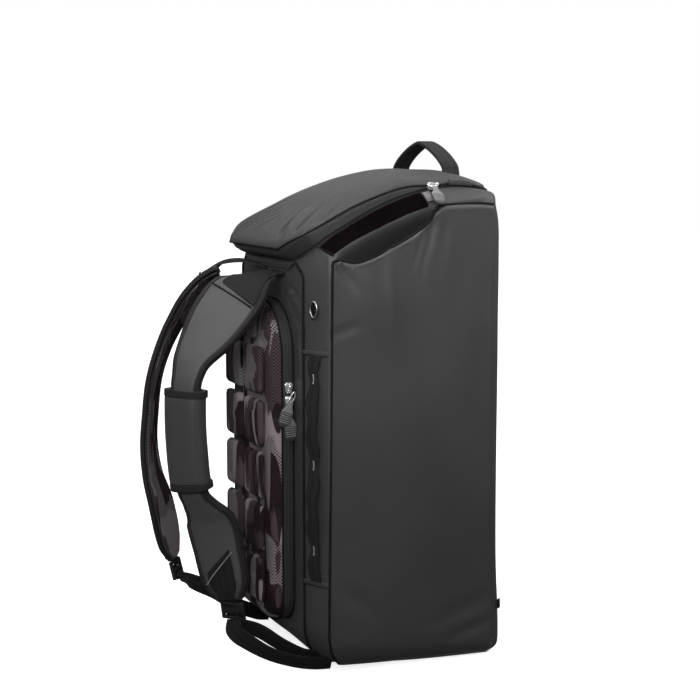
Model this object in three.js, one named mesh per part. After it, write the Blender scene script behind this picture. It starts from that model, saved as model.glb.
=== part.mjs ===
// A hybrid duffel backpack for ball sports, standing on its end.
// Millimetres, +Z up. The origin lies on the flat rest face of the base, the straps point to -Y
// and the two large side panels face +X (right) and -X (left).

import * as THREE from "three";

// Driving dimensions

const WALL = { cloth: 2.5, panel: 2, tape: 1.6, padded: 5 };
const GAP = 0.5;

// Plan of the body: strap face, slanted corner gusset, side panel, rounded back corner.
const BODY = {
  faceY: -132,
  faceHalf: 112,
  gussetX: 132.5,
  gussetY: -124.5,
  sideX: 150,
  frontSeamY: -113,
  backSeamY: 125,
  backY: 146,
  backHalf: 130,
  backCorner: { x: 146, y: 138 },
};

// Bat sleeve: a recess in each side of the shell, behind the side panel.
const SLEEVE = { innerX: 92, frontY: -100, backY: 112, floorRise: 17, ceilingDrop: 78 };

// Rounding of the base: height and inset towards the front, the sides and the back.
const BASE = {
  height: { front: 62, side: 42, back: 18 },
  inset: { front: 62, sideFront: 42, sideBack: 9, back: 8 },
  profile: [
    { rise: 0, inset: 1 },
    { rise: 0.08, inset: 0.7 },
    { rise: 0.24, inset: 0.42 },
    { rise: 0.44, inset: 0.21 },
    { rise: 0.71, inset: 0.06 },
    { rise: 1, inset: 0 },
  ],
};

// Height of the seam above the side panel, and of the zip line above it, along the depth.
const SEAM = [
  { y: -132, z: 529 },
  { y: -113, z: 549 },
  { y: -80, z: 572 },
  { y: -34, z: 592 },
  { y: 0, z: 606 },
  { y: 36, z: 617 },
  { y: 70, z: 620 },
  { y: 125, z: 619 },
  { y: 146, z: 610 },
];
const ZIP_LINE = [
  { y: -134, z: 547 },
  { y: -110, z: 571 },
  { y: -77, z: 590 },
  { y: -20, z: 619 },
  { y: 46, z: 639 },
  { y: 83, z: 642 },
  { y: 140, z: 635 },
];
const RIM = { halfWidth: 122, frontY: -134, backY: 140 };

// Sleeve mouth: the free lip of the side panel sags below the seam and stands off the bag.
const MOUTH = {
  frontY: -106,
  backY: 40,
  standOff: 17,
  depth: 170,
  lip: [
    { y: -106, z: 552 },
    { y: -97, z: 551 },
    { y: -80, z: 547 },
    { y: -62, z: 552 },
    { y: -32, z: 567 },
    { y: 17, z: 589 },
    { y: 34, z: 603 },
    { y: 40, z: 617.5 },
  ],
};
const PANEL = { belly: 6, columns: 16, rows: 8, footRise: 0.24 };

// Lid: it overhangs the strap face and is lightly crowned.
const LID = {
  halfWidth: 121,
  frontY: -158,
  backY: 138,
  rim: 6,
  edge: [
    { y: -158, z: 562 },
    { y: -146, z: 575 },
    { y: -125, z: 589 },
    { y: -76, z: 618 },
    { y: -12, z: 642 },
    { y: 46, z: 655 },
    { y: 90, z: 658 },
    { y: 138, z: 650 },
  ],
  crown: [
    { reach: 0.2, lift: 10 },
    { reach: 0.5, lift: 9 },
    { reach: 0.8, lift: 5.5 },
    { reach: 0.97, lift: 1.5 },
    { reach: 1, lift: -2 },
  ],
};

const HANDLE = { y: 101, halfSpan: 75, top: 703, width: 25, thickness: 5, peak: 1.2, steps: 18 };

// Padded pocket on the strap face, with two columns of moulded pads.
const POCKET = {
  halfWidth: 80,
  bottom: 58,
  top: 492,
  topRadius: 70,
  bottomRadius: 36,
  zipDepth: 16,
  sections: [
    { out: 0, inset: 0.5 },
    { out: 8, inset: 2.5 },
    { out: 14, inset: 9 },
    { out: 17, inset: 22 },
    { out: 18, inset: 50 },
  ],
};
const PAD = { pitch: 71, gap: 6, firstEdge: 86, rows: 5, inner: 5, outer: 67, thickness: 9, radius: 14 };
const TOP_PAD = { low: 441, high: 480, outer: 44 };

// Shoulder straps: centre line, half width and turn of the width about Z, from the top end down.
const STRAP = {
  thickness: 12,
  right: [
    { x: 36, y: -162, z: 527, half: 34, turn: 22 },
    { x: 46, y: -186, z: 514, half: 40, turn: 32 },
    { x: 56, y: -210, z: 488, half: 41, turn: 38 },
    { x: 66, y: -236, z: 452, half: 37, turn: 40 },
    { x: 70, y: -256, z: 424, half: 30, turn: 38 },
    { x: 72, y: -268, z: 404, half: 25, turn: 36 },
    { x: 73, y: -274, z: 388, half: 22, turn: 36 },
    { x: 73, y: -278, z: 320, half: 22, turn: 36 },
    { x: 73, y: -271, z: 252, half: 22, turn: 38 },
    { x: 71, y: -261, z: 234, half: 25, turn: 42 },
    { x: 70, y: -246, z: 210, half: 36, turn: 44 },
    { x: 70, y: -236, z: 170, half: 35, turn: 43 },
    { x: 71, y: -227, z: 126, half: 29, turn: 43 },
    { x: 71, y: -221, z: 102, half: 15, turn: 43 },
  ],
  left: [
    { x: 36, y: -162, z: 527, half: 34, turn: 22 },
    { x: 46, y: -186, z: 514, half: 40, turn: 32 },
    { x: 56, y: -212, z: 487, half: 39, turn: 36 },
    { x: 66, y: -240, z: 452, half: 37, turn: 35 },
    { x: 70, y: -261, z: 420, half: 35, turn: 33 },
    { x: 71, y: -276, z: 380, half: 34, turn: 31 },
    { x: 71, y: -284, z: 335, half: 33, turn: 30 },
    { x: 71, y: -286, z: 290, half: 33, turn: 30 },
    { x: 71, y: -281, z: 245, half: 34, turn: 32 },
    { x: 70, y: -271, z: 205, half: 36, turn: 35 },
    { x: 70, y: -260, z: 152, half: 32, turn: 35 },
    { x: 70, y: -254, z: 126, half: 15, turn: 35 },
  ],
};
const GRIP = { high: 386, low: 256, half: 29, thickness: 36, wall: 4 };

// Sewn webbing patch from the strap face over the top of the strap pad.
const ANCHOR = [
  { x: 30, y: -134.5, z: 524, half: 20, turn: 0, lift: 0 },
  { x: 31, y: -143, z: 535, half: 20, turn: 6, lift: 0 },
  { x: 36, y: -162, z: 527, half: 22, turn: 22, lift: 9.5 },
  { x: 46, y: -186, z: 514, half: 24, turn: 32, lift: 9.5 },
  { x: 51, y: -198, z: 502, half: 24, turn: 35, lift: 9.5 },
];

const LADDER_LOCK = { width: 34, height: 26, thickness: 5, bar: 4.5 };
const LOCK_TILT = 14;
const LOCK_GAP = 4;

// Adjuster webbing from each buckle to the lower corner of the bag, and the free tail on the right.
const WEBBING = { half: 12.5, thickness: 2 };
const LOWER_WEBBING = {
  right: [
    { x: 74, y: -212, z: 67, turn: 15 },
    { x: 79, y: -203, z: 66, turn: 0 },
    { x: 87, y: -182, z: 55, turn: -15 },
    { x: 95, y: -160, z: 39, turn: -22 },
    { x: 102, y: -134, z: 24, turn: -25 },
    { x: 105, y: -120, z: 20, turn: -25 },
  ],
  left: [
    { x: 73, y: -243, z: 91, turn: 15 },
    { x: 78, y: -230, z: 88, turn: 0 },
    { x: 88, y: -192, z: 66, turn: -15 },
    { x: 98, y: -155, z: 38, turn: -22 },
    { x: 105, y: -120, z: 20, turn: -25 },
  ],
};
const TAIL = [
  { x: 74, y: -218, z: 60, turn: 15 },
  { x: 86, y: -200, z: 43, turn: 0 },
  { x: 97, y: -174, z: 24, turn: -15 },
  { x: 107, y: -144, z: 9, turn: -22 },
  { x: 114, y: -122, z: 3.5, turn: -25 },
  { x: 118, y: -104, z: 2.2, turn: -25 },
];

// Trim on the corner gussets and the top gussets.
const DAISY = {
  top: 428,
  bottom: 130,
  width: 20,
  thickness: 1.6,
  standOff: 6,
  tacks: [398, 285, 172],
  foot: 6,
};
const RING = { z: 487, radius: 5.5, wire: 1.3, stretch: 1.5 };
const LOOP_STRIP = { frontY: -106, backY: 31, low: 0.08, high: 0.9, thickness: 1.2, columns: 10 };
const TAG = { frontY: 33, backY: 43, low: 0.3, high: 0.86, thickness: 1, columns: 2 };
const EDGE_TAB = { width: 8, height: 13, thickness: 2, z: 70 };

const SLIDER = { width: 9, length: 14, thickness: 5 };
const PULL = {
  thickness: 5,
  outline: [
    { down: 0, half: 3 },
    { down: 8.5, half: 3 },
    { down: 17, half: 6 },
    { down: 29, half: 6 },
  ],
  tip: 34,
};
const LID_SLIDER = { y: 50, lift: 4, swing: 14 };
const POCKET_SLIDERS = [
  { name: "upper", z: 388, lean: -14, out: 7 },
  { name: "lower", z: 366, lean: 4, out: 1 },
];

// Finishes

const finish = (color, roughness, metalness = 0) =>
  new THREE.MeshStandardMaterial({ color, roughness, metalness });
const FINISH = {
  coated: finish(0x404144, 0.55),
  lid: finish(0x56575a, 0.5),
  strapPad: finish(0x57585a, 0.75),
  camo: finish(0x4c4346, 0.85),
  webbing: finish(0x1d1c1e, 0.8),
  grip: finish(0x2e2e30, 0.45),
  tape: finish(0x151416, 0.85),
  metal: finish(0xb9babd, 0.3, 1),
  rubber: finish(0x77787b, 0.6),
  plastic: finish(0x19191b, 0.5),
};

// Tables and vectors

const { lerp, clamp, degToRad, smoothstep } = THREE.MathUtils;
const vec = (x, y, z) => new THREE.Vector3(x, y, z);

// Value of one column at a place along another, on a smooth curve through the rows.
function read(table, key, at, column) {
  const last = table.length - 1;
  const place = clamp(at, table[0][key], table[last][key]);
  const next = clamp(table.findIndex((row) => row[key] >= place), 1, last);
  const [a, b] = [table[next - 1], table[next]];
  const before = table[Math.max(next - 2, 0)];
  const after = table[Math.min(next + 1, last)];
  const slope = (p, q) => (q[column] - p[column]) / (q[key] - p[key]);
  const span = b[key] - a[key];
  const t = (place - a[key]) / span;
  const leave = slope(before, b) * span;
  const arrive = slope(a, after) * span;
  const bend = t * t * (3 - 2 * t);
  return lerp(a[column], b[column], bend) + t * (1 - t) * ((1 - t) * leave - t * arrive);
}

const seamZ = (y) => read(SEAM, "y", y, "z");
const zipZ = (y) => read(ZIP_LINE, "y", y, "z");
const lidZ = (y) => read(LID.edge, "y", y, "z");

// Meshes

// One closed body from points and triangles, turned so that its faces point out.
function body(points, triangles) {
  let volume = 0;
  for (let i = 0; i < triangles.length; i += 3) {
    const [a, b, c] = triangles.slice(i, i + 3).map((n) => points[n]);
    volume += a.dot(b.clone().cross(c));
  }
  if (volume < 0) triangles.reverse();
  const geometry = new THREE.BufferGeometry().setFromPoints(points);
  geometry.setIndex(triangles);
  geometry.computeVertexNormals();
  return geometry;
}

// Two triangles of a four-sided face, split along its shorter diagonal.
function split(points, a, b, c, d) {
  const across = points[a].distanceToSquared(points[c]) <= points[b].distanceToSquared(points[d]);
  return across ? [a, b, c, a, c, d] : [a, b, d, b, c, d];
}

// Skin over rings of equal length: a tube closed on itself, or one with a fan on each end.
function loft(rings, closedOnItself = false) {
  const n = rings[0].length;
  const points = rings.flat().map((p) => p.clone());
  const triangles = [];
  const spans = closedOnItself ? rings.length : rings.length - 1;
  for (let i = 0; i < spans; i++) {
    const low = i * n;
    const high = ((i + 1) % rings.length) * n;
    for (let j = 0; j < n; j++) {
      const k = (j + 1) % n;
      triangles.push(...split(points, low + j, low + k, high + k, high + j));
    }
  }
  if (!closedOnItself) {
    [0, rings.length - 1].forEach((ring, end) => {
      const middle = rings[ring].reduce((sum, p) => sum.add(p), vec(0, 0, 0)).divideScalar(n);
      points.push(middle);
      for (let j = 0; j < n; j++) {
        const pair = [ring * n + j, ring * n + ((j + 1) % n)];
        triangles.push(points.length - 1, ...(end ? pair : pair.reverse()));
      }
    });
  }
  return body(points, triangles);
}

// Unit normals of a grid of points; a grid of rings wraps round, a sheet does not.
function normals(grid, wraps) {
  const rows = grid.length;
  const n = grid[0].length;
  const column = (j) => (wraps ? (j + n) % n : clamp(j, 0, n - 1));
  return grid.map((row, i) =>
    row.map((_, j) => {
      const along = row[column(j + 1)].clone().sub(row[column(j - 1)]);
      const up = grid[Math.min(i + 1, rows - 1)][j].clone().sub(grid[Math.max(i - 1, 0)][j]);
      return along.cross(up).normalize();
    }),
  );
}

// The same grid moved along its normals, which on rings point away from the middle of the rings.
function offset(grid, distance, wraps) {
  const out = normals(grid, wraps);
  const all = grid.flat();
  const middle = all.reduce((sum, p) => sum.add(p), vec(0, 0, 0)).divideScalar(all.length);
  const lean = out.flat().reduce((sum, normal, i) => sum + normal.dot(all[i].clone().sub(middle)), 0);
  const reach = wraps ? distance * Math.sign(lean) : distance;
  return grid.map((row, i) => row.map((p, j) => p.clone().addScaledVector(out[i][j], reach)));
}

// Open vessel of cloth: outer rings from the closed end to the rim, and the same rings one wall inside.
function vessel(rings, wall) {
  const inner = offset(rings, -wall, true);
  return loft([...rings, ...inner.reverse()]);
}

// Hoop of tape between two or more rings, one wall thick.
function hoop(rings, wall) {
  const inner = offset(rings, -wall, true);
  return loft([...rings, ...inner.reverse()], true);
}

// Sheet of cloth: a grid of points on its outer face, and the same grid one wall behind it.
function sheet(grid, wall) {
  const rows = grid.length;
  const n = grid[0].length;
  const inner = offset(grid, -wall, false);
  const ring = (i) => [...grid[i], ...inner[i].slice().reverse()];
  const points = grid.map((_, i) => ring(i)).flat();
  const triangles = [];
  const width = 2 * n;
  const quad = (...corners) => triangles.push(...split(points, ...corners));
  for (let i = 0; i < rows - 1; i++) {
    for (let j = 0; j < width; j++) {
      const k = (j + 1) % width;
      quad(i * width + j, i * width + k, (i + 1) * width + k, (i + 1) * width + j);
    }
  }
  const top = (rows - 1) * width;
  for (let j = 0; j < n - 1; j++) {
    const back = width - 1 - j;
    quad(j + 1, j, back, back - 1);
    quad(top + j, top + j + 1, top + back - 1, top + back);
  }
  return body(points, triangles);
}

// Flat strip swept along table rows: centre, half width and turn of the width about Z.
function strip(rows, { side, thickness, half, rounding = 0.3, between = 2 }) {
  const centres = new THREE.CatmullRomCurve3(rows.map((row) => vec(side * row.x, row.y, row.z)));
  const steps = (rows.length - 1) * between;
  const rings = [];
  for (let i = 0; i <= steps; i++) {
    const at = (i / steps) * (rows.length - 1);
    const column = (name) => read(rows.map((row, step) => ({ step, [name]: row[name] })), "step", at, name);
    const middle = centres.getPoint(i / steps);
    const along = centres.getTangent(i / steps);
    const turn = degToRad(column("turn"));
    const across = vec(side * Math.cos(turn), Math.sin(turn), 0);
    across.addScaledVector(along, -across.dot(along)).normalize();
    const out = across.clone().cross(along).normalize().multiplyScalar(-side);
    const lift = "lift" in rows[0] ? column("lift") : 0;
    rings.push(stripSection(middle, across, out, half ?? column("half"), thickness / 2, rounding, lift));
  }
  return loft(rings);
}

// Eight-sided section of a strip, lifted along its outward normal.
function stripSection(middle, across, out, half, deep, rounding, lift) {
  const cut = rounding * deep * 2;
  const corners = [
    [half, -deep + cut / 2],
    [half, deep - cut / 2],
    [half - cut, deep],
    [cut - half, deep],
    [-half, deep - cut / 2],
    [-half, -deep + cut / 2],
    [cut - half, -deep],
    [half - cut, -deep],
  ];
  return corners.map(([a, b]) => middle.clone().addScaledVector(across, a).addScaledVector(out, b + lift));
}

// Body outline

// Right half of the plan, front to back; the sleeve points also know their place deep in the recess.
function halfPlan() {
  const { faceY, faceHalf, gussetX, gussetY, sideX, frontSeamY, backSeamY } = BODY;
  const { backY, backHalf, backCorner } = BODY;
  const { innerX, frontY, backY: sleeveBack } = SLEEVE;
  const land = 5;
  const front = [0, 0.4, 0.8, 1].map((part) => ({ x: part * faceHalf, y: faceY }));
  const sleeve = [
    { x: sideX, y: frontSeamY + land },
    ...[0, 0.25, 0.5, 0.75, 1].map((part) => {
      const y = lerp(frontY, sleeveBack, part);
      return { x: sideX, y, deepX: innerX, deepY: y };
    }),
    { x: sideX, y: backSeamY - land },
  ];
  const back = [1, 0.6, 0.3, 0].map((part) => ({ x: part * backHalf, y: backY }));
  return [
    ...front,
    { x: gussetX, y: gussetY },
    { x: sideX, y: frontSeamY },
    ...sleeve,
    { x: sideX, y: backSeamY },
    backCorner,
    ...back,
  ];
}

// Whole ring from the right half of the plan and its mirror image.
function ring(place) {
  const right = halfPlan().map(place);
  const left = right.slice(1, -1).reverse().map((p) => vec(-p.x, p.y, p.z));
  return [...right, ...left];
}

const scaleY = (y, front, back) => (y < 0 ? (y * front) / BODY.faceY : (y * back) / BODY.backY);

// Height of the base rounding at a depth.
function baseHeight(y) {
  const { front, side, back } = BASE.height;
  return y < 0 ? lerp(side, front, (y / BODY.faceY) ** 2) : lerp(side, back, y / BODY.backY);
}

// Point of the base rounding for a point of the plan.
function basePoint({ x, y }, { rise, inset }) {
  const { front, sideFront, sideBack, back } = BASE.inset;
  const side = lerp(sideFront, sideBack, smoothstep(y, BODY.faceY, BODY.backY));
  return vec(
    x * (1 - (side * inset) / BODY.sideX),
    scaleY(y, BODY.faceY + front * inset, BODY.backY - back * inset),
    rise * baseHeight(y),
  );
}

const sleevePoint = (p, z) => vec(p.deepX ?? p.x, p.deepY ?? p.y, z);

const rimRing = (lift) =>
  ring(({ x, y }) => {
    const rimY = scaleY(y, RIM.frontY, RIM.backY);
    return vec((x * RIM.halfWidth) / BODY.sideX, rimY, zipZ(rimY) + lift);
  });

// Ring of the lid: a share of its reach from the middle, lifted above its edge line.
const lidRing = (reach, lift) =>
  ring(({ x, y }) => {
    const middle = (LID.frontY + LID.backY) / 2;
    const edgeY = scaleY(y, LID.frontY, LID.backY);
    const lidY = lerp(middle, edgeY, reach);
    return vec((x * reach * LID.halfWidth) / BODY.sideX, lidY, lidZ(lidY) + lift);
  });

// Pieces of the body

function mainShell() {
  const rounding = BASE.profile.map((row) => ring((p) => basePoint(p, row)));
  const wallMiddle = 300;
  const rings = [
    ...rounding,
    ring((p) => sleevePoint(p, baseHeight(p.y) + SLEEVE.floorRise)),
    ring((p) => sleevePoint(p, wallMiddle)),
    ring((p) => sleevePoint(p, seamZ(p.y) - SLEEVE.ceilingDrop)),
    ring((p) => vec(p.x, p.y, seamZ(p.y))),
    rimRing(0),
  ];
  return vessel(rings, WALL.cloth);
}

// Top edge of a side panel: just under the seam, or along the free lip of the sleeve mouth.
function panelTop(y) {
  const underSeam = seamZ(y) - GAP;
  if (y < MOUTH.frontY || y > MOUTH.backY) return underSeam;
  return Math.min(underSeam, read(MOUTH.lip, "y", y, "z"));
}

// How far a panel stands off the plan: a soft belly, and the open lip of the mouth.
function panelStandOff(part, rise, y, below) {
  const belly = PANEL.belly * Math.sin(Math.PI * part) * Math.sin(Math.PI * clamp(rise, 0, 1));
  const across = clamp((y - MOUTH.frontY) / (MOUTH.backY - MOUTH.frontY), 0, 1);
  const lip = MOUTH.standOff * Math.sin(Math.PI * across) ** 2 * (1 - smoothstep(below, 0, MOUTH.depth));
  return belly + lip;
}

function sidePanel(side) {
  const parts = Array.from({ length: PANEL.columns + 1 }, (_, i) => i / PANEL.columns);
  const plan = (part) => ({ x: BODY.sideX, y: lerp(BODY.frontSeamY, BODY.backSeamY, part) });
  const foot = BASE.profile.filter((row) => row.rise >= PANEL.footRise);
  const flat = [
    ...foot.map((row) => parts.map((part) => basePoint(plan(part), row))),
    ...Array.from({ length: PANEL.rows }, (_, i) =>
      parts.map((part) => {
        const { x, y } = plan(part);
        const rise = ((i + 1) / PANEL.rows) ** 0.8;
        return vec(x, y, lerp(baseHeight(y), panelTop(y), rise));
      }),
    ),
  ];
  const stoodOff = offset(flat, GAP + WALL.panel, false).map((row) =>
    row.map((p, j) => {
      const { y } = plan(parts[j]);
      const top = panelTop(y);
      p.x += panelStandOff(parts[j], p.z / top, y, top - p.z);
      return p;
    }),
  );
  return sheet(mirrored(stoodOff, side), WALL.panel);
}

// The grid itself on the right, its mirror image on the left.
function mirrored(grid, side) {
  if (side > 0) return grid;
  return grid.map((row) => row.map((p) => vec(-p.x, p.y, p.z)).reverse());
}

const lidZip = () => hoop([rimRing(3 * GAP), lidRing(1, -LID.rim - 4 * GAP)], WALL.tape);

function topLid() {
  const crown = LID.crown.map(({ reach, lift }) => lidRing(reach, lift));
  return vessel([...crown, lidRing(1, -LID.rim)], WALL.cloth);
}

// Point on the top gusset: from the side panel's seam up to the zip line.
function gussetPoint(y, part) {
  const rimY = scaleY(y, RIM.frontY, RIM.backY);
  const low = vec(BODY.sideX, y, seamZ(y));
  return low.lerp(vec(RIM.halfWidth, rimY, zipZ(rimY)), part);
}

// Thin piece sewn on the top gusset.
function gussetPatch(size, side) {
  const { frontY, backY, low, high, thickness, columns } = size;
  const ys = Array.from({ length: columns + 1 }, (_, i) => lerp(frontY, backY, i / columns));
  const grid = [low, (low + high) / 2, high].map((part) => ys.map((y) => gussetPoint(y, part)));
  return sheet(mirrored(offset(grid, GAP + thickness, false), side), thickness);
}

// Top handle: a webbing arch across the lid, a little peaked in the middle.
function topHandle() {
  const { y, halfSpan, top, width, thickness, peak, steps } = HANDLE;
  const footLift = 8;
  const foot = lidZ(y) + footLift;
  const rise = top - foot - thickness / 2;
  const bend = (value) => Math.sign(value) * Math.abs(value) ** peak;
  const arch = Array.from({ length: steps + 1 }, (_, i) => {
    const angle = Math.PI * (1 - i / steps);
    return vec(halfSpan * bend(Math.cos(angle)), y, foot + rise * bend(Math.sin(angle)));
  });
  const curve = new THREE.CatmullRomCurve3(arch);
  const across = vec(0, 1, 0);
  const rings = arch.map((middle, i) => {
    const out = curve.getTangent(i / steps).cross(across).negate().normalize();
    return stripSection(middle, across, out, width / 2, thickness / 2, 0.3, 0);
  });
  return loft(rings);
}

// Pocket on the strap face

// Outline of the pocket in X and Z, drawn in from its edge, at a depth Y.
function pocketRing(inset, y) {
  const half = POCKET.halfWidth - inset;
  const arc = (cx, cz, radius, from, to, count) =>
    Array.from({ length: count }, (_, i) => {
      const angle = lerp(from, to, i / (count - 1));
      return vec(cx + radius * Math.cos(angle), y, cz + radius * Math.sin(angle));
    });
  const topRadius = Math.max(POCKET.topRadius - inset, 4);
  const bottomRadius = Math.max(POCKET.bottomRadius - inset, 4);
  const high = POCKET.top - inset - topRadius;
  const low = POCKET.bottom + inset + bottomRadius;
  const right = [
    ...arc(half - bottomRadius, low, bottomRadius, -Math.PI / 2, 0, 5),
    vec(half, y, lerp(low, high, 1 / 3)),
    vec(half, y, lerp(low, high, 2 / 3)),
    ...arc(half - topRadius, high, topRadius, 0, Math.PI / 2, 7),
  ];
  const left = right.map((p) => vec(-p.x, p.y, p.z)).reverse();
  return [...right, ...left];
}

const pocketEdgeY = BODY.faceY - GAP - POCKET.zipDepth;

const pocketZip = () => hoop([pocketRing(0, BODY.faceY - GAP), pocketRing(0, pocketEdgeY)], WALL.tape);

function backPocket() {
  const rings = POCKET.sections.map(({ out, inset }) => pocketRing(inset, pocketEdgeY - GAP - out));
  return vessel(rings.reverse(), WALL.padded);
}

// Moulded pad: a rounded block that stands on the pocket.
function backPad(side, low, high, outer) {
  const { inner, thickness, radius } = PAD;
  const bevel = 3;
  const [x0, x1, z0, z1] = [inner + bevel, outer - bevel, low + bevel, high - bevel];
  const outline = new THREE.Shape();
  outline.absarc(x1 - radius, z0 + radius, radius, -Math.PI / 2, 0);
  outline.absarc(x1 - radius, z1 - radius, radius, 0, Math.PI / 2);
  outline.absarc(x0 + radius, z1 - radius, radius, Math.PI / 2, Math.PI);
  outline.absarc(x0 + radius, z0 + radius, radius, Math.PI, 1.5 * Math.PI);
  const geometry = new THREE.ExtrudeGeometry(outline, {
    depth: thickness - 2 * bevel,
    bevelThickness: bevel,
    bevelSize: bevel,
    bevelSegments: 1,
    curveSegments: 3,
  });
  const deepest = POCKET.sections.at(-1).out;
  const back = 2 * GAP + deepest - pocketEdgeY;
  geometry.translate(side < 0 ? -(inner + outer) : 0, 0, back + bevel);
  return geometry.rotateX(Math.PI / 2);
}

// Straps and webbing

const shoulderStrap = (rows, side) => strip(rows, { side, thickness: STRAP.thickness });
const strapAnchor = (side) => strip(ANCHOR, { side, thickness: 3 });
const webbing = (rows, side) => strip(rows, { side, thickness: WEBBING.thickness, half: WEBBING.half });

// Smooth cuff that wraps the right strap: an oval tube along the strap's own centre line.
function gripWrap() {
  const rows = STRAP.right;
  const byHeight = rows.slice().reverse();
  const heights = [GRIP.low, lerp(GRIP.low, GRIP.high, 1 / 3), lerp(GRIP.low, GRIP.high, 2 / 3), GRIP.high];
  const oval = (wall) =>
    heights.map((z) => {
      const turn = degToRad(read(byHeight, "z", z, "turn"));
      const middle = vec(read(byHeight, "z", z, "x"), read(byHeight, "z", z, "y"), z);
      const across = vec(Math.cos(turn), Math.sin(turn), 0);
      const out = vec(Math.sin(turn), -Math.cos(turn), 0);
      const sides = 14;
      return Array.from({ length: sides }, (_, i) => {
        const angle = (2 * Math.PI * i) / sides;
        const a = (GRIP.half - wall) * Math.cos(angle);
        const b = (GRIP.thickness / 2 - wall) * Math.sin(angle);
        return middle.clone().addScaledVector(across, a).addScaledVector(out, b);
      });
    });
  return loft([...oval(0), ...oval(GRIP.wall).reverse()], true);
}

// Ladder-lock buckle: a plate with two slots.
function ladderLock() {
  const { width, height, thickness, bar } = LADDER_LOCK;
  const outline = box2d(-width / 2, -height / 2, width / 2, height / 2, THREE.Shape);
  const slotHeight = (height - 3 * bar) / 2;
  [-1, 1].forEach((row) => {
    const middle = (row * (slotHeight + bar)) / 2;
    const slot = [-width / 2 + bar, middle - slotHeight / 2, width / 2 - bar, middle + slotHeight / 2];
    outline.holes.push(box2d(...slot, THREE.Path));
  });
  return plate(outline, thickness).rotateX(Math.PI / 2);
}

// Rectangle as a closed shape or path.
function box2d(x0, y0, x1, y1, Kind) {
  const outline = new Kind();
  outline.moveTo(x0, y0);
  outline.lineTo(x1, y0);
  outline.lineTo(x1, y1);
  outline.lineTo(x0, y1);
  outline.closePath();
  return outline;
}

// Trim

// Daisy-chain webbing: flat at each tack, and standing off the gusset between them.
function daisyChain() {
  const { top, bottom, width, thickness, standOff, tacks, foot } = DAISY;
  const stops = [bottom + foot, ...tacks.slice().reverse(), top - foot];
  const wave = [{ z: bottom, out: 0 }];
  stops.slice(1).forEach((high, i) => {
    const low = stops[i];
    const swell = standOff * Math.min(1, (high - low) / (tacks[0] - tacks[1]));
    [0, 0.25, 0.5, 0.75].forEach((part) => {
      wave.push({ z: lerp(low, high, part), out: swell * Math.sin(Math.PI * part) });
    });
  });
  wave.push({ z: top - foot, out: 0 }, { z: top, out: 0 });
  const outline = new THREE.Shape();
  wave.forEach(({ z, out }, i) => outline[i ? "lineTo" : "moveTo"](out, z));
  wave.reverse().forEach(({ z, out }) => outline.lineTo(out + thickness, z));
  return plate(outline, width).rotateX(Math.PI / 2);
}

// Frame of the corner gusset: its outward direction in plan and a point on its ridge.
function onGusset(mesh, side, z, out) {
  const chord = vec(BODY.sideX - BODY.faceHalf, BODY.frontSeamY - BODY.faceY, 0).normalize();
  const outward = vec(chord.y, -chord.x, 0);
  const angle = Math.atan2(outward.y, side * outward.x);
  mesh.position.set(side * (BODY.gussetX + out * outward.x), BODY.gussetY + out * outward.y, z);
  mesh.rotation.set(0, 0, angle);
  return mesh;
}

// Oval wire ring that lies flat on the gusset.
function gussetRing() {
  const ring = new THREE.TorusGeometry(RING.radius, RING.wire, 6, 14).scale(1, RING.stretch, 1);
  return ring.rotateX(Math.PI / 2).rotateZ(Math.PI / 2);
}

// Flat plate of an outline, centred on its thickness.
function plate(outline, thickness) {
  const geometry = new THREE.ExtrudeGeometry(outline, { depth: thickness, bevelEnabled: false });
  return geometry.translate(0, 0, -thickness / 2);
}

// Zip slider: a small wedge.
function slider() {
  const { width, length, thickness } = SLIDER;
  const outline = new THREE.Shape();
  outline.moveTo(-width / 3, -length / 2);
  outline.lineTo(width / 3, -length / 2);
  outline.lineTo(width / 2, length / 3);
  outline.lineTo(width / 4, length / 2);
  outline.lineTo(-width / 4, length / 2);
  outline.lineTo(-width / 2, length / 3);
  outline.closePath();
  return plate(outline, thickness);
}

// Moulded pull: a narrow neck that widens to a faceted end, hanging from its top.
function zipPull() {
  const { outline: rows, tip, thickness } = PULL;
  const right = rows.map(({ down, half }) => new THREE.Vector2(half, -down));
  const left = right.map(({ x, y }) => new THREE.Vector2(-x, y)).reverse();
  const outline = new THREE.Shape([...left, ...right, new THREE.Vector2(0, -tip)]);
  return plate(outline, thickness);
}

// Hangs a small piece on a surface: its length runs down, its thickness points out.
function hang(mesh, place, down, out) {
  const up = down.clone().normalize().negate();
  const face = out.clone().addScaledVector(up, -out.dot(up)).normalize();
  mesh.position.copy(place);
  mesh.quaternion.setFromRotationMatrix(new THREE.Matrix4().makeBasis(up.clone().cross(face), up, face));
  return mesh;
}

// Slider on the lid zip, with its pull lying down the slope of the top gusset.
function lidSlider(name, side) {
  const { y, lift, swing } = LID_SLIDER;
  const low = gussetPoint(y, 0);
  const high = gussetPoint(y, 1);
  const slope = low.clone().sub(high).normalize();
  const outward = vec(-slope.z, 0, slope.x);
  const turned = (v) => vec(side * v.x, v.y, v.z);
  const fast = vec(RIM.halfWidth + SLIDER.thickness / 2 + 2 * GAP, high.y, high.z + lift);
  const hook = high.clone().addScaledVector(slope, SLIDER.width / 2 + 3 * GAP);
  hook.addScaledVector(outward, PULL.thickness / 2 + 6 * GAP);
  const fall = slope.clone().add(vec(0, Math.tan(degToRad(swing)), 0));
  return [
    hang(piece(`lid_slider_${name}`, slider(), FINISH.metal), turned(fast), vec(0, 1, 0), vec(side, 0, 0)),
    hang(piece(`lid_pull_${name}`, zipPull(), FINISH.rubber), turned(hook), turned(fall), turned(outward)),
  ];
}

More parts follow.
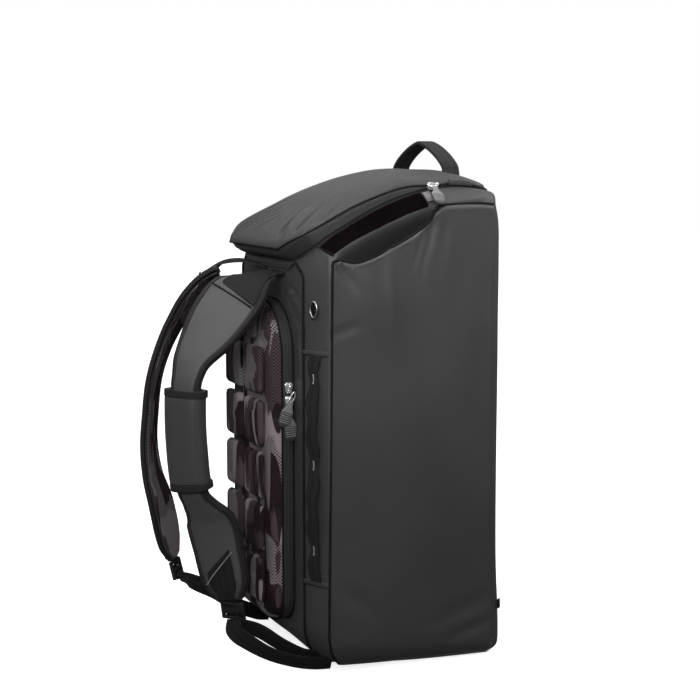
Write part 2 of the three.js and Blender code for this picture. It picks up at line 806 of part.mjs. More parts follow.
// Slider on the right run of the pocket zip, with its pull hanging beside the pocket.
function pocketSlider({ name, z, lean, out }) {
  const x = POCKET.halfWidth + GAP;
  const y = (BODY.faceY + pocketEdgeY) / 2;
  const fast = vec(x + SLIDER.thickness / 2, y, z);
  const hook = vec(x + PULL.thickness / 2 + out, y, z - SLIDER.length / 2 - GAP);
  const fall = vec(0, Math.sin(degToRad(lean)), -Math.cos(degToRad(lean)));
  return [
    hang(piece(`pocket_slider_${name}`, slider(), FINISH.metal), fast, vec(0, 0, -1), vec(1, 0, 0)),
    hang(piece(`pocket_pull_${name}`, zipPull(), FINISH.rubber), hook, fall, vec(1, 0, 0)),
  ];
}

// Small tab sewn on the back corner of the right side.
function edgeTab() {
  const { width, height, thickness, z } = EDGE_TAB;
  const { x, y } = BODY.backCorner;
  const out = vec(BODY.backY - BODY.backSeamY, BODY.sideX - BODY.backHalf, 0).normalize();
  const tab = piece("edge_tab", new THREE.BoxGeometry(width, height, thickness), FINISH.webbing);
  const place = vec(x, y, z).addScaledVector(out, thickness / 2 + GAP);
  return hang(tab, place, vec(0, 0, -1), out);
}

// Assembly

const SIDES = [
  { name: "right", side: 1 },
  { name: "left", side: -1 },
];

function piece(name, geometry, material) {
  const mesh = new THREE.Mesh(geometry, material);
  mesh.name = name;
  return mesh;
}

function shellGroup() {
  const group = new THREE.Group();
  group.add(piece("main_shell", mainShell(), FINISH.coated));
  SIDES.forEach(({ name, side }) => {
    group.add(piece(`side_panel_${name}`, sidePanel(side), FINISH.coated));
    group.add(piece(`loop_strip_${name}`, gussetPatch(LOOP_STRIP, side), FINISH.tape));
  });
  group.add(piece("sleeve_tag", gussetPatch(TAG, 1), FINISH.tape));
  return group;
}

function lidGroup() {
  const group = new THREE.Group();
  group.add(piece("lid_zip", lidZip(), FINISH.tape));
  group.add(piece("top_lid", topLid(), FINISH.lid));
  group.add(piece("top_handle", topHandle(), FINISH.webbing));
  SIDES.forEach(({ name, side }) => group.add(...lidSlider(name, side)));
  return group;
}

function pocketGroup() {
  const group = new THREE.Group();
  group.add(piece("pocket_zip", pocketZip(), FINISH.tape));
  group.add(piece("back_pocket", backPocket(), FINISH.camo));
  POCKET_SLIDERS.forEach((row) => group.add(...pocketSlider(row)));
  SIDES.forEach(({ name, side }) => {
    for (let row = 0; row < PAD.rows; row++) {
      const low = PAD.firstEdge + row * PAD.pitch;
      const pad = backPad(side, low, low + PAD.pitch - PAD.gap, PAD.outer);
      group.add(piece(`back_pad_${name}_${row + 1}`, pad, FINISH.camo));
    }
    const top = backPad(side, TOP_PAD.low, TOP_PAD.high, TOP_PAD.outer);
    group.add(piece(`back_pad_${name}_top`, top, FINISH.camo));
  });
  return group;
}

function strapGroup() {
  const group = new THREE.Group();
  SIDES.forEach(({ name, side }) => {
    const rows = STRAP[name];
    const end = rows.at(-1);
    const reach = LADDER_LOCK.height / 2 + LOCK_GAP;
    group.add(piece(`strap_anchor_${name}`, strapAnchor(side), FINISH.webbing));
    group.add(piece(`shoulder_strap_${name}`, shoulderStrap(rows, side), FINISH.strapPad));
    group.add(piece(`lower_webbing_${name}`, webbing(LOWER_WEBBING[name], side), FINISH.webbing));
    const lock = piece(`ladder_lock_${name}`, ladderLock(), FINISH.plastic);
    const tilt = degToRad(LOCK_TILT);
    lock.position.set(side * end.x, end.y + reach * Math.sin(tilt), end.z - reach * Math.cos(tilt));
    lock.rotation.set(tilt, 0, degToRad(side * end.turn), "ZXY");
    group.add(lock);
  });
  group.add(piece("grip_wrap", gripWrap(), FINISH.grip));
  group.add(piece("webbing_tail", webbing(TAIL, 1), FINISH.webbing));
  return group;
}

function trimGroup() {
  const group = new THREE.Group();
  group.add(edgeTab());
  SIDES.forEach(({ name, side }) => {
    group.add(onGusset(piece(`daisy_chain_${name}`, daisyChain(), FINISH.webbing), side, 0, GAP));
    const ringOut = RING.wire + GAP;
    group.add(onGusset(piece(`gusset_ring_${name}`, gussetRing(), FINISH.metal), side, RING.z, ringOut));
  });
  return group;
}

const bag = new THREE.Group();
bag.add(shellGroup(), lidGroup(), pocketGroup(), strapGroup(), trimGroup());

export default bag;
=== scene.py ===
"""Dress the sports travel bag: a soft duffel backpack that stands on its end.

Metres, +Z up. The straps point to -Y and the side panels face +X (right) and -X (left).
"""

from __future__ import annotations

import logging
import math
from collections.abc import Callable, Iterable, Sequence
from dataclasses import dataclass, replace
from enum import Enum
from functools import cache, cached_property
from itertools import accumulate

import bmesh
import bpy
from bmesh.types import BMEdge, BMesh, BMVert
from mathutils import Matrix, Vector, noise

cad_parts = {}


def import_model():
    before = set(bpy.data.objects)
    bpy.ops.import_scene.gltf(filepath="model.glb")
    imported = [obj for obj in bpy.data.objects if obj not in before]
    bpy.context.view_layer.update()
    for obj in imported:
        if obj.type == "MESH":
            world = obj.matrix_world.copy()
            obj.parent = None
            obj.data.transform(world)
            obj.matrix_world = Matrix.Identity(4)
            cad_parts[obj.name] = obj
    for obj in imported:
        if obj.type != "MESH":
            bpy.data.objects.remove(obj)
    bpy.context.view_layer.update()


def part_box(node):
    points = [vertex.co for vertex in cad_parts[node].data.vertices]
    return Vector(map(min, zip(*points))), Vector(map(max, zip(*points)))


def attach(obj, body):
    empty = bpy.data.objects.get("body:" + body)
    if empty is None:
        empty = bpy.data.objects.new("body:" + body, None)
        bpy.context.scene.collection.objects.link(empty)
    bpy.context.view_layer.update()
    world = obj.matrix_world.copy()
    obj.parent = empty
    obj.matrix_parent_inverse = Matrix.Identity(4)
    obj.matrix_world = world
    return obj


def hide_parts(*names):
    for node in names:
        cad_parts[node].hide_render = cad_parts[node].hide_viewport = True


LOG = logging.getLogger("bag")
BODY = "root"
MERGE = 1e-5
UP = Vector((0, 0, 1))
FRONT = Vector((0, -1, 0))
RIGHT = Vector((1, 0, 0))

Colour = tuple[float, float, float]
Pair = tuple[float, float]
Row = tuple[float, ...]
Piece = bpy.types.Object
Node = bpy.types.Node
Socket = bpy.types.NodeSocket
Tree = bpy.types.NodeTree


class Side(Enum):
    """The two sides of the bag, with the sign of their X."""

    RIGHT = 1
    LEFT = -1

    @property
    def word(self) -> str:
        """Name of the side, as it stands in the pieces' names."""
        return self.name.lower()

    def turned(self, point: Vector) -> Vector:
        """Mirror a point of the right side to this one."""
        return Vector((self.value * point.x, point.y, point.z))


# Numbers and curves


def lerp(a: float, b: float, part: float) -> float:
    """Blend two numbers."""
    return a + (b - a) * part


def clamp(value: float, low: float = 0.0, high: float = 1.0) -> float:
    """Keep a number between two limits."""
    return min(max(value, low), high)


def ease(value: float, low: float = 0.0, high: float = 1.0) -> float:
    """Smooth step from 0 at low to 1 at high."""
    part = clamp((value - low) / (high - low))
    return part * part * (3 - 2 * part)


def spaced(low: float, high: float, steps: int) -> list[float]:
    """Evenly spaced numbers, with both ends."""
    return [lerp(low, high, i / steps) for i in range(steps + 1)]


@dataclass(frozen=True)
class Line:
    """A smooth curve through short table rows of place and value."""

    rows: tuple[Pair, ...]

    def at(self, place: float) -> float:
        """Read the curve.

        Args:
            place: Place along the first column; it is kept inside the table.

        Returns:
            The value there.
        """
        rows = self.rows
        last = len(rows) - 1
        place = clamp(place, rows[0][0], rows[last][0])
        i = next((k for k in range(1, last + 1) if rows[k][0] >= place), last)
        (x0, y0), (x1, y1) = rows[i - 1], rows[i]
        before = rows[max(i - 2, 0)]
        after = rows[min(i + 1, last)]
        span = x1 - x0
        t = (place - x0) / span
        leave = span * (y1 - before[1]) / (x1 - before[0])
        arrive = span * (after[1] - y0) / (after[0] - x0)
        return lerp(y0, y1, ease(t)) + t * (1 - t) * ((1 - t) * leave - t * arrive)


@dataclass(frozen=True)
class Station:
    """One cross-section of a strap: its middle, its directions and its half width."""

    middle: Vector
    along: Vector
    across: Vector
    out: Vector
    half: float

    def point(self, a: float, b: float) -> Vector:
        """Point at a across the strap and b out of it."""
        return self.middle + self.across * a + self.out * b


Section = Callable[[float, Station], Pair]


@dataclass(frozen=True)
class Route:
    """Centre line of a strap: rows of x, y, z, half width and turn of the width, from the top down."""

    rows: tuple[Row, ...]
    side: Side

    @cached_property
    def places(self) -> list[float]:
        """Length of the route from its top to each row."""
        lengths = [0.0]
        for a, b in zip(self.rows, self.rows[1:]):
            lengths.append(lengths[-1] + math.dist(a[:3], b[:3]))
        return lengths

    def column(self, index: int, at: float) -> float:
        """Read one column at a place that counts rows."""
        i = int(clamp(at, 0, len(self.rows) - 2))
        place = lerp(self.places[i], self.places[i + 1], at - i)
        return Line(tuple(zip(self.places, (row[index] for row in self.rows)))).at(place)

    def middle(self, at: float) -> Vector:
        """Centre of the strap at a place that counts rows."""
        return self.side.turned(Vector([self.column(k, at) for k in range(3)]))

    def station(self, at: float, lift: float = 0.0, half: float = 0.0) -> Station:
        """Cut the strap.

        Args:
            at: Place along the route, counted in rows.
            lift: Height of the station's middle out of the centre line.
            half: Half width, or 0 to take it from the table.

        Returns:
            The station there.
        """
        step = 0.05
        along = (self.middle(at + step) - self.middle(at - step)).normalized()
        turn = math.radians(self.column(4, at))
        across = self.side.turned(Vector((math.cos(turn), math.sin(turn), 0)))
        across = (across - along * across.dot(along)).normalized()
        out = across.cross(along).normalized() * -self.side.value
        middle = self.middle(at) + out * lift
        return Station(middle, along, across, out, half or self.column(3, at))

    def stations(self, start: float, end: float, count: int, lift: float = 0.0) -> list[Station]:
        """Evenly spaced stations between two places."""
        return [self.station(at, lift) for at in spaced(start, end, count - 1)]


# The bag's main lines


@dataclass(frozen=True)
class BagForm:
    """Plan of the body and the lines of its seams, in metres."""

    face_y: float = -0.132
    face_half: float = 0.112
    gusset: Pair = (0.1325, -0.1245)
    side_x: float = 0.150
    front_seam_y: float = -0.113
    back_seam_y: float = 0.125
    back_corner: Pair = (0.146, 0.138)
    back_y: float = 0.146
    back_half: float = 0.130
    rim_half: float = 0.122
    rim_front: float = -0.134
    rim_back: float = 0.140
    lid_half: float = 0.121
    lid_front: float = -0.158
    lid_back: float = 0.138
    mouth_front: float = -0.106
    mouth_back: float = 0.040
    mouth_stand_off: float = 0.017
    panel_face: float = 0.0025
    corner_radius: float = 0.018
    base_front: float = 0.062
    base_side: float = 0.042
    base_back: float = 0.018
    inset_front: float = 0.062
    inset_side_front: float = 0.042
    inset_side_back: float = 0.009
    inset_back: float = 0.008
    base_profile: Line = Line(((0, 1), (0.08, 0.7), (0.24, 0.42), (0.44, 0.21), (0.71, 0.06), (1, 0)))
    seam: Line = Line((
        (-0.132, 0.529), (-0.113, 0.549), (-0.080, 0.572), (-0.034, 0.592), (0.0, 0.606),
        (0.036, 0.617), (0.070, 0.620), (0.125, 0.619), (0.146, 0.610),
    ))
    zip_line: Line = Line((
        (-0.134, 0.547), (-0.110, 0.571), (-0.077, 0.590), (-0.020, 0.619), (0.046, 0.639),
        (0.083, 0.642), (0.140, 0.635),
    ))
    lid_edge: Line = Line((
        (-0.158, 0.562), (-0.146, 0.575), (-0.125, 0.589), (-0.076, 0.618), (-0.012, 0.642),
        (0.046, 0.655), (0.090, 0.658), (0.138, 0.650),
    ))
    lip: Line = Line((
        (-0.106, 0.552), (-0.097, 0.551), (-0.080, 0.547), (-0.062, 0.552), (-0.032, 0.567),
        (0.017, 0.589), (0.034, 0.603), (0.040, 0.6175),
    ))

    @property
    def gusset_out(self) -> Vector:
        """Direction out of the right corner gusset."""
        chord = Vector((self.side_x - self.face_half, self.front_seam_y - self.face_y, 0)).normalized()
        return Vector((chord.y, -chord.x, 0))

    def scaled_y(self, y: float, front: float, back: float) -> float:
        """Stretch the plan's depth to another front and back."""
        return y * front / self.face_y if y < 0 else y * back / self.back_y

    def base_height(self, y: float) -> float:
        """Height at which the rounding of the base ends."""
        if y < 0:
            return lerp(self.base_side, self.base_front, (y / self.face_y) ** 2)
        return lerp(self.base_side, self.base_back, y / self.back_y)

    def base_point(self, x: float, y: float, rise: float) -> Vector:
        """Point of the base rounding, at a share of its height, for a point of the plan."""
        inset = self.base_profile.at(rise)
        side = lerp(self.inset_side_front, self.inset_side_back, ease(y, self.face_y, self.back_y))
        front = self.face_y + self.inset_front * inset
        back = self.back_y - self.inset_back * inset
        width = x * (1 - side * inset / self.side_x)
        return Vector((width, self.scaled_y(y, front, back), rise * self.base_height(y)))

    def rim_point(self, x: float, y: float, lift: float = 0.0) -> Vector:
        """Point of the zip line round the mouth of the shell, for a point of the plan."""
        rim_y = self.scaled_y(y, self.rim_front, self.rim_back)
        return Vector((x * self.rim_half / self.side_x, rim_y, self.zip_line.at(rim_y) + lift))

    def lid_point(self, x: float, y: float, lift: float = 0.0) -> Vector:
        """Point of the lid's edge, for a point of the plan."""
        lid_y = self.scaled_y(y, self.lid_front, self.lid_back)
        return Vector((x * self.lid_half / self.side_x, lid_y, self.lid_edge.at(lid_y) + lift))

    def zip_wall_point(self, x: float, y: float, part: float) -> Vector:
        """Point on the zip wall, from the shell's rim up to the lid."""
        return self.rim_point(x, y, 0.0015).lerp(self.lid_point(x, y, -0.008), part)

    def gusset_point(self, y: float, part: float) -> Vector:
        """Point on the right top gusset, from the panel's seam up to the zip line."""
        low = Vector((self.side_x, y, self.seam.at(y)))
        return low.lerp(self.rim_point(self.side_x, y), part)

    def panel_top(self, y: float) -> float:
        """Height of a side panel's top edge: the seam, or the free lip of the sleeve mouth."""
        seam = self.seam.at(y) - 0.0005
        if y < self.mouth_front or y > self.mouth_back:
            return seam
        return min(seam, self.lip.at(y))

    def lip_point(self, y: float) -> Vector:
        """Point on the right panel's top edge, on its outer face."""
        across = clamp((y - self.mouth_front) / (self.mouth_back - self.mouth_front))
        stand_off = self.mouth_stand_off * math.sin(math.pi * across) ** 2
        return Vector((self.side_x + self.panel_face + stand_off, y, self.panel_top(y)))

    def slump(self, point: Vector) -> Vector:
        """Bulge the cloth at the foot of the back, where a load sits."""
        low = (1 - ease(point.z, 0.03, 0.17)) * ease(point.z, 0.0, 0.012)
        return point + Vector((0, 0.006, 0)) * low * ease(point.y, 0.02, 0.12)

    def corner(self, point: Vector) -> Vector:
        """Round the top front corner of the right panel."""
        down = point.z - self.panel_top(self.front_seam_y) + self.corner_radius
        ahead = self.front_seam_y + self.corner_radius - point.y
        if min(down, ahead) <= 0:
            return point
        inward = 1 - max(down, ahead) / math.hypot(down, ahead)
        return point + Vector((0, ahead, -down)) * inward

    def plan(self, side_steps: int = 18) -> list[Pair]:
        """Closed outline of the body in plan, from the middle of the strap face round by the right."""
        side = spaced(self.front_seam_y, self.back_seam_y, side_steps)
        right = [(part * self.face_half, self.face_y) for part in (0, 0.25, 0.5, 0.75, 1)]
        right += [self.gusset, *((self.side_x, y) for y in side), self.back_corner]
        right += [(part * self.back_half, self.back_y) for part in (1, 0.66, 0.33, 0)]
        return right + [(-x, y) for x, y in right[-2:0:-1]]


# Shader nodes


class Graph:
    """Adds nodes to a shader tree and joins them."""

    def __init__(self, tree: Tree) -> None:
        """Hold the tree that the nodes go into."""
        self.tree = tree

    @classmethod
    def group(cls, name: str, inputs: dict[str, float | None], outputs: dict[str, str]) -> Graph:
        """Start a node group.

        Args:
            name: Name of the group.
            inputs: Names of its inputs with their first values, None for a vector.
            outputs: Names of its outputs with their kinds.

        Returns:
            The graph of the new group.
        """
        tree = bpy.data.node_groups.new(name, "ShaderNodeTree")
        for key, value in inputs.items():
            kind = "NodeSocketVector" if value is None else "NodeSocketFloat"
            socket = tree.interface.new_socket(key, in_out="INPUT", socket_type=kind)
            if value is not None:
                socket.default_value = value
        for key, kind in outputs.items():
            tree.interface.new_socket(key, in_out="OUTPUT", socket_type=f"NodeSocket{kind}")
        tree.nodes.new("NodeGroupInput").name = "source"
        return cls(tree)

    def given(self, key: str) -> Socket:
        """One of the group's inputs."""
        return self.tree.nodes["source"].outputs[key]

    def put_out(self, **values: Socket) -> Tree:
        """Feed the group's outputs and give the group."""
        sink = self.tree.nodes.new("NodeGroupOutput")
        for key, value in values.items():
            self.set(sink.inputs[key], value)
        return self.tree

    def set(self, socket: Socket, value: object) -> None:
        """Link a socket to another one, or give it a value."""
        if isinstance(value, Socket):
            self.tree.links.new(value, socket)
        else:
            socket.default_value = value

    def add(self, kind: str, sockets: dict[str | int, object] | None = None, **settings: object) -> Node:
        """Add a node.

        Args:
            kind: Node type, without its ShaderNode prefix.
            sockets: Inputs by name or number, each with a value or the socket that feeds it.
            **settings: Properties of the node.

        Returns:
            The node.
        """
        node = self.tree.nodes.new(f"ShaderNode{kind}")
        for key, value in settings.items():
            setattr(node, key, value)
        for key, value in (sockets or {}).items():
            self.set(node.inputs[key], value)
        return node

    def use(self, tree: Tree, **sockets: object) -> Node:
        """Place a node group with its own values."""
        return self.add("Group", sockets, node_tree=tree)

    def math(self, operation: str, *values: object) -> Socket:
        """Add a Math node and give its result."""
        return self.add("Math", dict(enumerate(values)), operation=operation).outputs[0]

    def spread(
        self, value: object, low: float, high: float, to_low: float = 0.0, to_high: float = 1.0
    ) -> Socket:
        """Map a value smoothly from one range to another."""
        sockets = {0: value, 1: low, 2: high, 3: to_low, 4: to_high}
        return self.add("MapRange", sockets, interpolation_type="SMOOTHSTEP").outputs[0]

    def tint(self, mask: object, low: object, high: object) -> Socket:
        """Blend two colours by a mask."""
        low, high = ((*colour, 1) if isinstance(colour, tuple) else colour for colour in (low, high))
        return self.add("Mix", {0: mask, 6: low, 7: high}, data_type="RGBA").outputs[2]

    def noise(self, vector: object, scale: object, detail: float, distortion: float = 0.0) -> Socket:
        """Add a Noise texture and give its value."""
        sockets = {"Vector": vector, "Scale": scale, "Detail": detail, "Distortion": distortion}
        return self.add("TexNoise", sockets).outputs[0]

    def lattice(self) -> Socket:
        """Cross two waves over the group's plane, each as long as its pitch."""
        x, y, _ = self.add("SeparateXYZ", {0: self.given("Plane")}).outputs
        turns = self.math("DIVIDE", math.tau, self.given("Pitch"))
        waves = (self.math("SINE", self.math("MULTIPLY", axis, turns)) for axis in (x, y))
        return self.math("MULTIPLY", *waves)


@cache
def cloth_plane() -> Tree:
    """Build the group of flat coordinates, in metres, on the axis plane that the surface faces."""
    graph = Graph.group("cloth_plane", {}, {"Plane": "Vector"})
    coords = graph.add("TexCoord")
    x, y, z = graph.add("SeparateXYZ", {0: coords.outputs["Object"]}).outputs
    facing = graph.add("VectorMath", {0: coords.outputs["Normal"]}, operation="ABSOLUTE")
    nx, ny, nz = graph.add("SeparateXYZ", {0: facing.outputs[0]}).outputs
    planes = [graph.add("CombineXYZ", {0: a, 1: b}).outputs[0] for a, b in ((x, y), (x, z), (y, z))]
    steep = graph.math("GREATER_THAN", ny, nz)
    upright = graph.add("Mix", {0: steep, 4: planes[0], 5: planes[1]}, data_type="VECTOR").outputs[1]
    sideways = graph.math("GREATER_THAN", nx, graph.math("MAXIMUM", ny, nz))
    plane = graph.add("Mix", {0: sideways, 4: upright, 5: planes[2]}, data_type="VECTOR").outputs[1]
    return graph.put_out(Plane=plane)


@cache
def weave() -> Tree:
    """Build the group of a plain weave: a height that rises and falls with the yarns."""
    graph = Graph.group("weave", {"Plane": None, "Pitch": 0.001}, {"Height": "Float", "Mask": "Float"})
    height = graph.math("MULTIPLY_ADD", graph.lattice(), 0.5, 0.5)
    return graph.put_out(Height=height, Mask=graph.spread(height, 0.55, 0.95))


@cache
def ribs() -> Tree:
    """Build the group of webbing: ribs along its length with a fine slanted weft between them."""
    graph = Graph.group("ribs", {"Plane": None, "Pitch": 0.003}, {"Height": "Float"})
    x, y, _ = graph.add("SeparateXYZ", {0: graph.given("Plane")}).outputs
    turns = graph.math("DIVIDE", math.tau, graph.given("Pitch"))
    ridge = graph.math("ABSOLUTE", graph.math("SINE", graph.math("MULTIPLY", x, turns)))
    slant = graph.math("MULTIPLY", graph.math("ADD", graph.math("MULTIPLY", ridge, 0.0008), y), 5200.0)
    weft = graph.math("MULTIPLY_ADD", graph.math("SINE", slant), 0.25, 0.25)
    return graph.put_out(Height=graph.math("MULTIPLY_ADD", ridge, 0.6, weft))


@cache
def mottle() -> Tree:
    """Build the group of soft wear and painted light: broad clouds, fine grain, and convex edges for rubbing
    wear with a painted highlight.
    """
    outputs = {"Cloud": "Float", "Speck": "Float", "Rub": "Float"}
    graph = Graph.group("mottle", {"Clouds": 9.0, "Grain": 900.0}, outputs)
    place = graph.add("TexCoord").outputs["Object"]
    cloud = graph.noise(place, graph.given("Clouds"), 3.0)
    speck = graph.noise(place, graph.given("Grain"), 1.0)
    # Convex edges, found by pointiness, are marked for rubbing wear and a painted edge highlight.
    edge = graph.add("NewGeometry").outputs["Pointiness"]
    return graph.put_out(Cloud=graph.spread(cloud, 0.3, 0.7), Speck=speck, Rub=graph.spread(edge, 0.52, 0.62))


@cache
def camouflage() -> Tree:
    """Build the group of a generic camouflage print: masks of middle and pale patches."""
    outputs = {"Middle": "Float", "Pale": "Float", "Netted": "Float"}
    graph = Graph.group("camouflage", {"Scale": 30.0}, outputs)
    place = graph.add("TexCoord").outputs["Object"]
    splinters = []
    for turn, shift, bend in ((0.3, 0.0, 0.5), (-0.45, 5.3, 0.7)):
        stretch = {"Location": (shift, shift, shift), "Rotation": (turn, turn, 0), "Scale": (1, 1, 0.22)}
        stretched = graph.add("Mapping", {0: place, **stretch}).outputs[0]
        splinters.append(graph.noise(stretched, graph.given("Scale"), 2.0, bend))
    patches = graph.noise(graph.add("Mapping", {0: place, "Location": (7.7, 2.2, 0.4)}).outputs[0], 17.0, 1.0)
    return graph.put_out(
        Middle=graph.spread(splinters[0], 0.49, 0.505),
        Pale=graph.spread(splinters[1], 0.53, 0.545),
        Netted=graph.spread(patches, 0.46, 0.5),
    )


@cache
def air_holes() -> Tree:
    """Build the group of an air mesh: a slanted lattice of small round holes."""
    graph = Graph.group("air_holes", {"Plane": None, "Pitch": 0.004}, {"Hole": "Float"})
    return graph.put_out(Hole=graph.spread(graph.lattice(), -0.05, 0.35))


# Finishes


@dataclass(frozen=True)
class Finish:
    """A surface finish: its slot name, its two near colours and its gloss."""

    name: str
    slot: str
    colour: Colour
    shade: Colour
    roughness: float = 0.6
    specular: float = 0.4
    sheen: float = 0.0
    bump: float = 0.3
    grain: float = 0.09

    @property
    def material(self) -> bpy.types.Material:
        """The material of this finish, made when it is first asked for."""
        found = bpy.data.materials.get(self.name)
        if found:
            return found
        made = bpy.data.materials.new(self.name)
        made.use_nodes = True
        graph = Graph(made.node_tree)
        shader = made.node_tree.nodes["Principled BSDF"]
        shader.inputs["Specular IOR Level"].default_value = self.specular
        shader.inputs["Sheen Weight"].default_value = self.sheen
        shader.inputs["Sheen Roughness"].default_value = 0.4
        self.dress(graph, shader)
        return made

    def dress(self, graph: Graph, shader: Node) -> None:
        """Lay the finish on: clouds of two near colours, grain in the gloss and a fine bump.

        Args:
            graph: Graph of the material.
            shader: Its Principled shader.
        """
        wear = graph.use(mottle())
        self.paint(graph, shader, wear, graph.tint(wear.outputs["Cloud"], self.shade, self.colour))
        self.raise_bump(graph, shader, wear.outputs["Speck"], 0.0003)

    def paint(self, graph: Graph, shader: Node, wear: Node, colour: object) -> None:
        """Set the colour, a little paler on convex edges for rubbing wear and a painted highlight, and a
        gloss that varies with the grain.

        Args:
            graph: Graph of the material.
            shader: Its Principled shader.
            wear: The mottle group in it.
            colour: Socket of the colour before its edges are made paler.
        """
        # Convex edges are painted paler, for rubbing wear and a painted highlight.
        paler_tone = graph.tint(graph.math("MULTIPLY", wear.outputs["Rub"], 0.25), colour, self.paler_tone())
        graph.set(shader.inputs["Base Color"], paler_tone)
        low, high = self.roughness - self.grain, min(self.roughness + self.grain, 1.0)
        graph.set(shader.inputs["Roughness"], graph.spread(wear.outputs["Speck"], 0.2, 0.8, low, high))

    def paler_tone(self) -> Colour:
        """Paler colour, laid on convex edges as rubbing wear and a painted highlight, and on yarn crowns."""
        return tuple(min(2.2 * c + 0.02, 1.0) for c in self.colour)

    def raise_bump(self, graph: Graph, shader: Node, height: object, distance: float) -> None:
        """Raise a bump from a height.

        Args:
            graph: Graph of the material.
            shader: Its Principled shader.
            height: Socket of the height, from 0 to 1.
            distance: Real height of the bump, in metres.
        """
        bump = graph.add("Bump", {"Height": height, "Strength": self.bump, "Distance": distance})
        graph.set(shader.inputs["Normal"], bump.outputs[0])


@dataclass(frozen=True)
class CoatedCloth(Finish):
    """Woven cloth with a smooth coating: a fine weave shows through it."""

    pitch: float = 0.0012

    def dress(self, graph: Graph, shader: Node) -> None:
        """Lay a plain weave under the coating."""
        wear = graph.use(mottle(), Clouds=6.0, Grain=600.0)
        plane = graph.use(cloth_plane()).outputs[0]
        yarn = graph.use(weave(), Plane=plane, Pitch=self.pitch)
        cloth = graph.tint(wear.outputs["Cloud"], self.shade, self.colour)
        deep = graph.tint(yarn.outputs["Mask"], cloth, self.paler_tone())
        fine = graph.tint(graph.math("MULTIPLY", wear.outputs["Speck"], 0.25), cloth, deep)
        self.paint(graph, shader, wear, fine)
        self.raise_bump(graph, shader, yarn.outputs["Height"], 0.0002)


@dataclass(frozen=True)
class Webbing(Finish):
    """Ribbed webbing, which follows the strap's own coordinates."""

    pitch: float = 0.0052

    def dress(self, graph: Graph, shader: Node) -> None:
        """Lay ribs along the webbing, paler on their backs."""
        wear = graph.use(mottle(), Clouds=14.0, Grain=1200.0)
        strap = graph.add("UVMap", uv_map="UVMap").outputs[0]
        rib = graph.use(ribs(), Plane=strap, Pitch=self.pitch).outputs["Height"]
        cloth = graph.tint(graph.spread(rib, 0.2, 0.9), self.shade, self.colour)
        self.paint(graph, shader, wear, cloth)
        self.raise_bump(graph, shader, rib, 0.0005)


@dataclass(frozen=True)
class CamoMesh(Finish):
    """Moulded air mesh with a printed camouflage: dark ground, middle and pale patches, and holes painted
    dark as the shade inside them.
    """

    middle: Colour = (0.062, 0.044, 0.050)
    pale: Colour = (0.215, 0.19, 0.198)
    pitch: float = 0.0046

    def dress(self, graph: Graph, shader: Node) -> None:
        """Print the patches and paint the holes dark, as the shade inside them, where the mesh is coarse."""
        wear = graph.use(mottle(), Clouds=30.0, Grain=1500.0)
        print_masks = graph.use(camouflage())
        hole = graph.use(air_holes(), Plane=graph.use(cloth_plane()).outputs[0], Pitch=self.pitch).outputs[0]
        ground = graph.tint(wear.outputs["Cloud"], self.shade, self.colour)
        patched = graph.tint(print_masks.outputs["Middle"], ground, self.middle)
        printed = graph.tint(print_masks.outputs["Pale"], patched, self.pale)
        netted = graph.math("MULTIPLY", hole, print_masks.outputs["Netted"])
        # The holes are painted in the darker ground tone, as the shade inside them.
        holes_in_shade = graph.tint(graph.math("MULTIPLY", netted, 0.85), printed, self.shade)
        self.paint(graph, shader, wear, holes_in_shade)
        weft = graph.math("MULTIPLY_ADD", wear.outputs["Speck"], 0.35, graph.math("SUBTRACT", 1.0, netted))
        self.raise_bump(graph, shader, weft, 0.0009)


@dataclass(frozen=True)
class Metal(Finish):
    """Bright plated metal with hair-fine scratches."""

    metallic: float = 0.85

    def dress(self, graph: Graph, shader: Node) -> None:
        """Plate the surface."""
        shader.inputs["Metallic"].default_value = self.metallic
        super().dress(graph, shader)


COATED = CoatedCloth(
    "coated_cloth", "coated_fabric", (0.036, 0.036, 0.037), (0.029, 0.029, 0.030), 0.5, 0.4, 0.03, 0.35
)
LID = CoatedCloth(
    "lid_cloth", "lid_fabric", (0.033, 0.033, 0.034), (0.026, 0.026, 0.027), 0.48, 0.32, 0.03, 0.3
)
STRAP_PAD = CoatedCloth(
    "strap_cloth", "strap_pad", (0.056, 0.056, 0.057), (0.047, 0.047, 0.048),
    0.6, 0.35, 0.08, 0.5, pitch=0.0016,
)
BINDING = CoatedCloth(
    "binding_cloth", "webbing", (0.014, 0.014, 0.0145), (0.01, 0.01, 0.0105),
    0.75, 0.2, 0.02, 0.7, pitch=0.0018,
)
PATCH = CoatedCloth(
    "patch_cloth", "webbing", (0.016, 0.016, 0.0165), (0.012, 0.012, 0.0125),
    0.85, 0.1, 0.0, 0.8, pitch=0.0022,
)
GRIP = CoatedCloth(
    "grip_cloth", "grip_fabric", (0.042, 0.042, 0.043), (0.037, 0.037, 0.038), 0.3, 0.6, 0.0, 0.1, 0.02, 0.001
)
PIPING = CoatedCloth(
    "piping_cloth", "webbing", (0.004, 0.004, 0.004), (0.003, 0.003, 0.003), 0.85, 0.12, 0.0, 0.4
)
ZIP_TAPE = CoatedCloth(
    "zip_tape_cloth", "zip_tape", (0.021, 0.021, 0.0215), (0.016, 0.016, 0.0165),
    0.7, 0.3, 0.03, 0.6, pitch=0.0015,
)
LOOP_TAPE = CoatedCloth(
    "loop_tape_nap", "loop_tape", (0.0035, 0.0022, 0.0026), (0.002, 0.0013, 0.0015),
    1.0, 0.0, 0.0, 1.0, pitch=0.0014,
)
CAMO = CamoMesh(
    "camo_mesh_cloth", "camo_mesh", (0.024, 0.0125, 0.0155), (0.011, 0.0065, 0.0075), 0.8, 0.15, 0.0, 0.9
)
WEBBING = Webbing(
    "webbing_weave", "webbing", (0.013, 0.0115, 0.0125), (0.006, 0.0055, 0.006), 0.8, 0.25, 0.03, 0.8
)
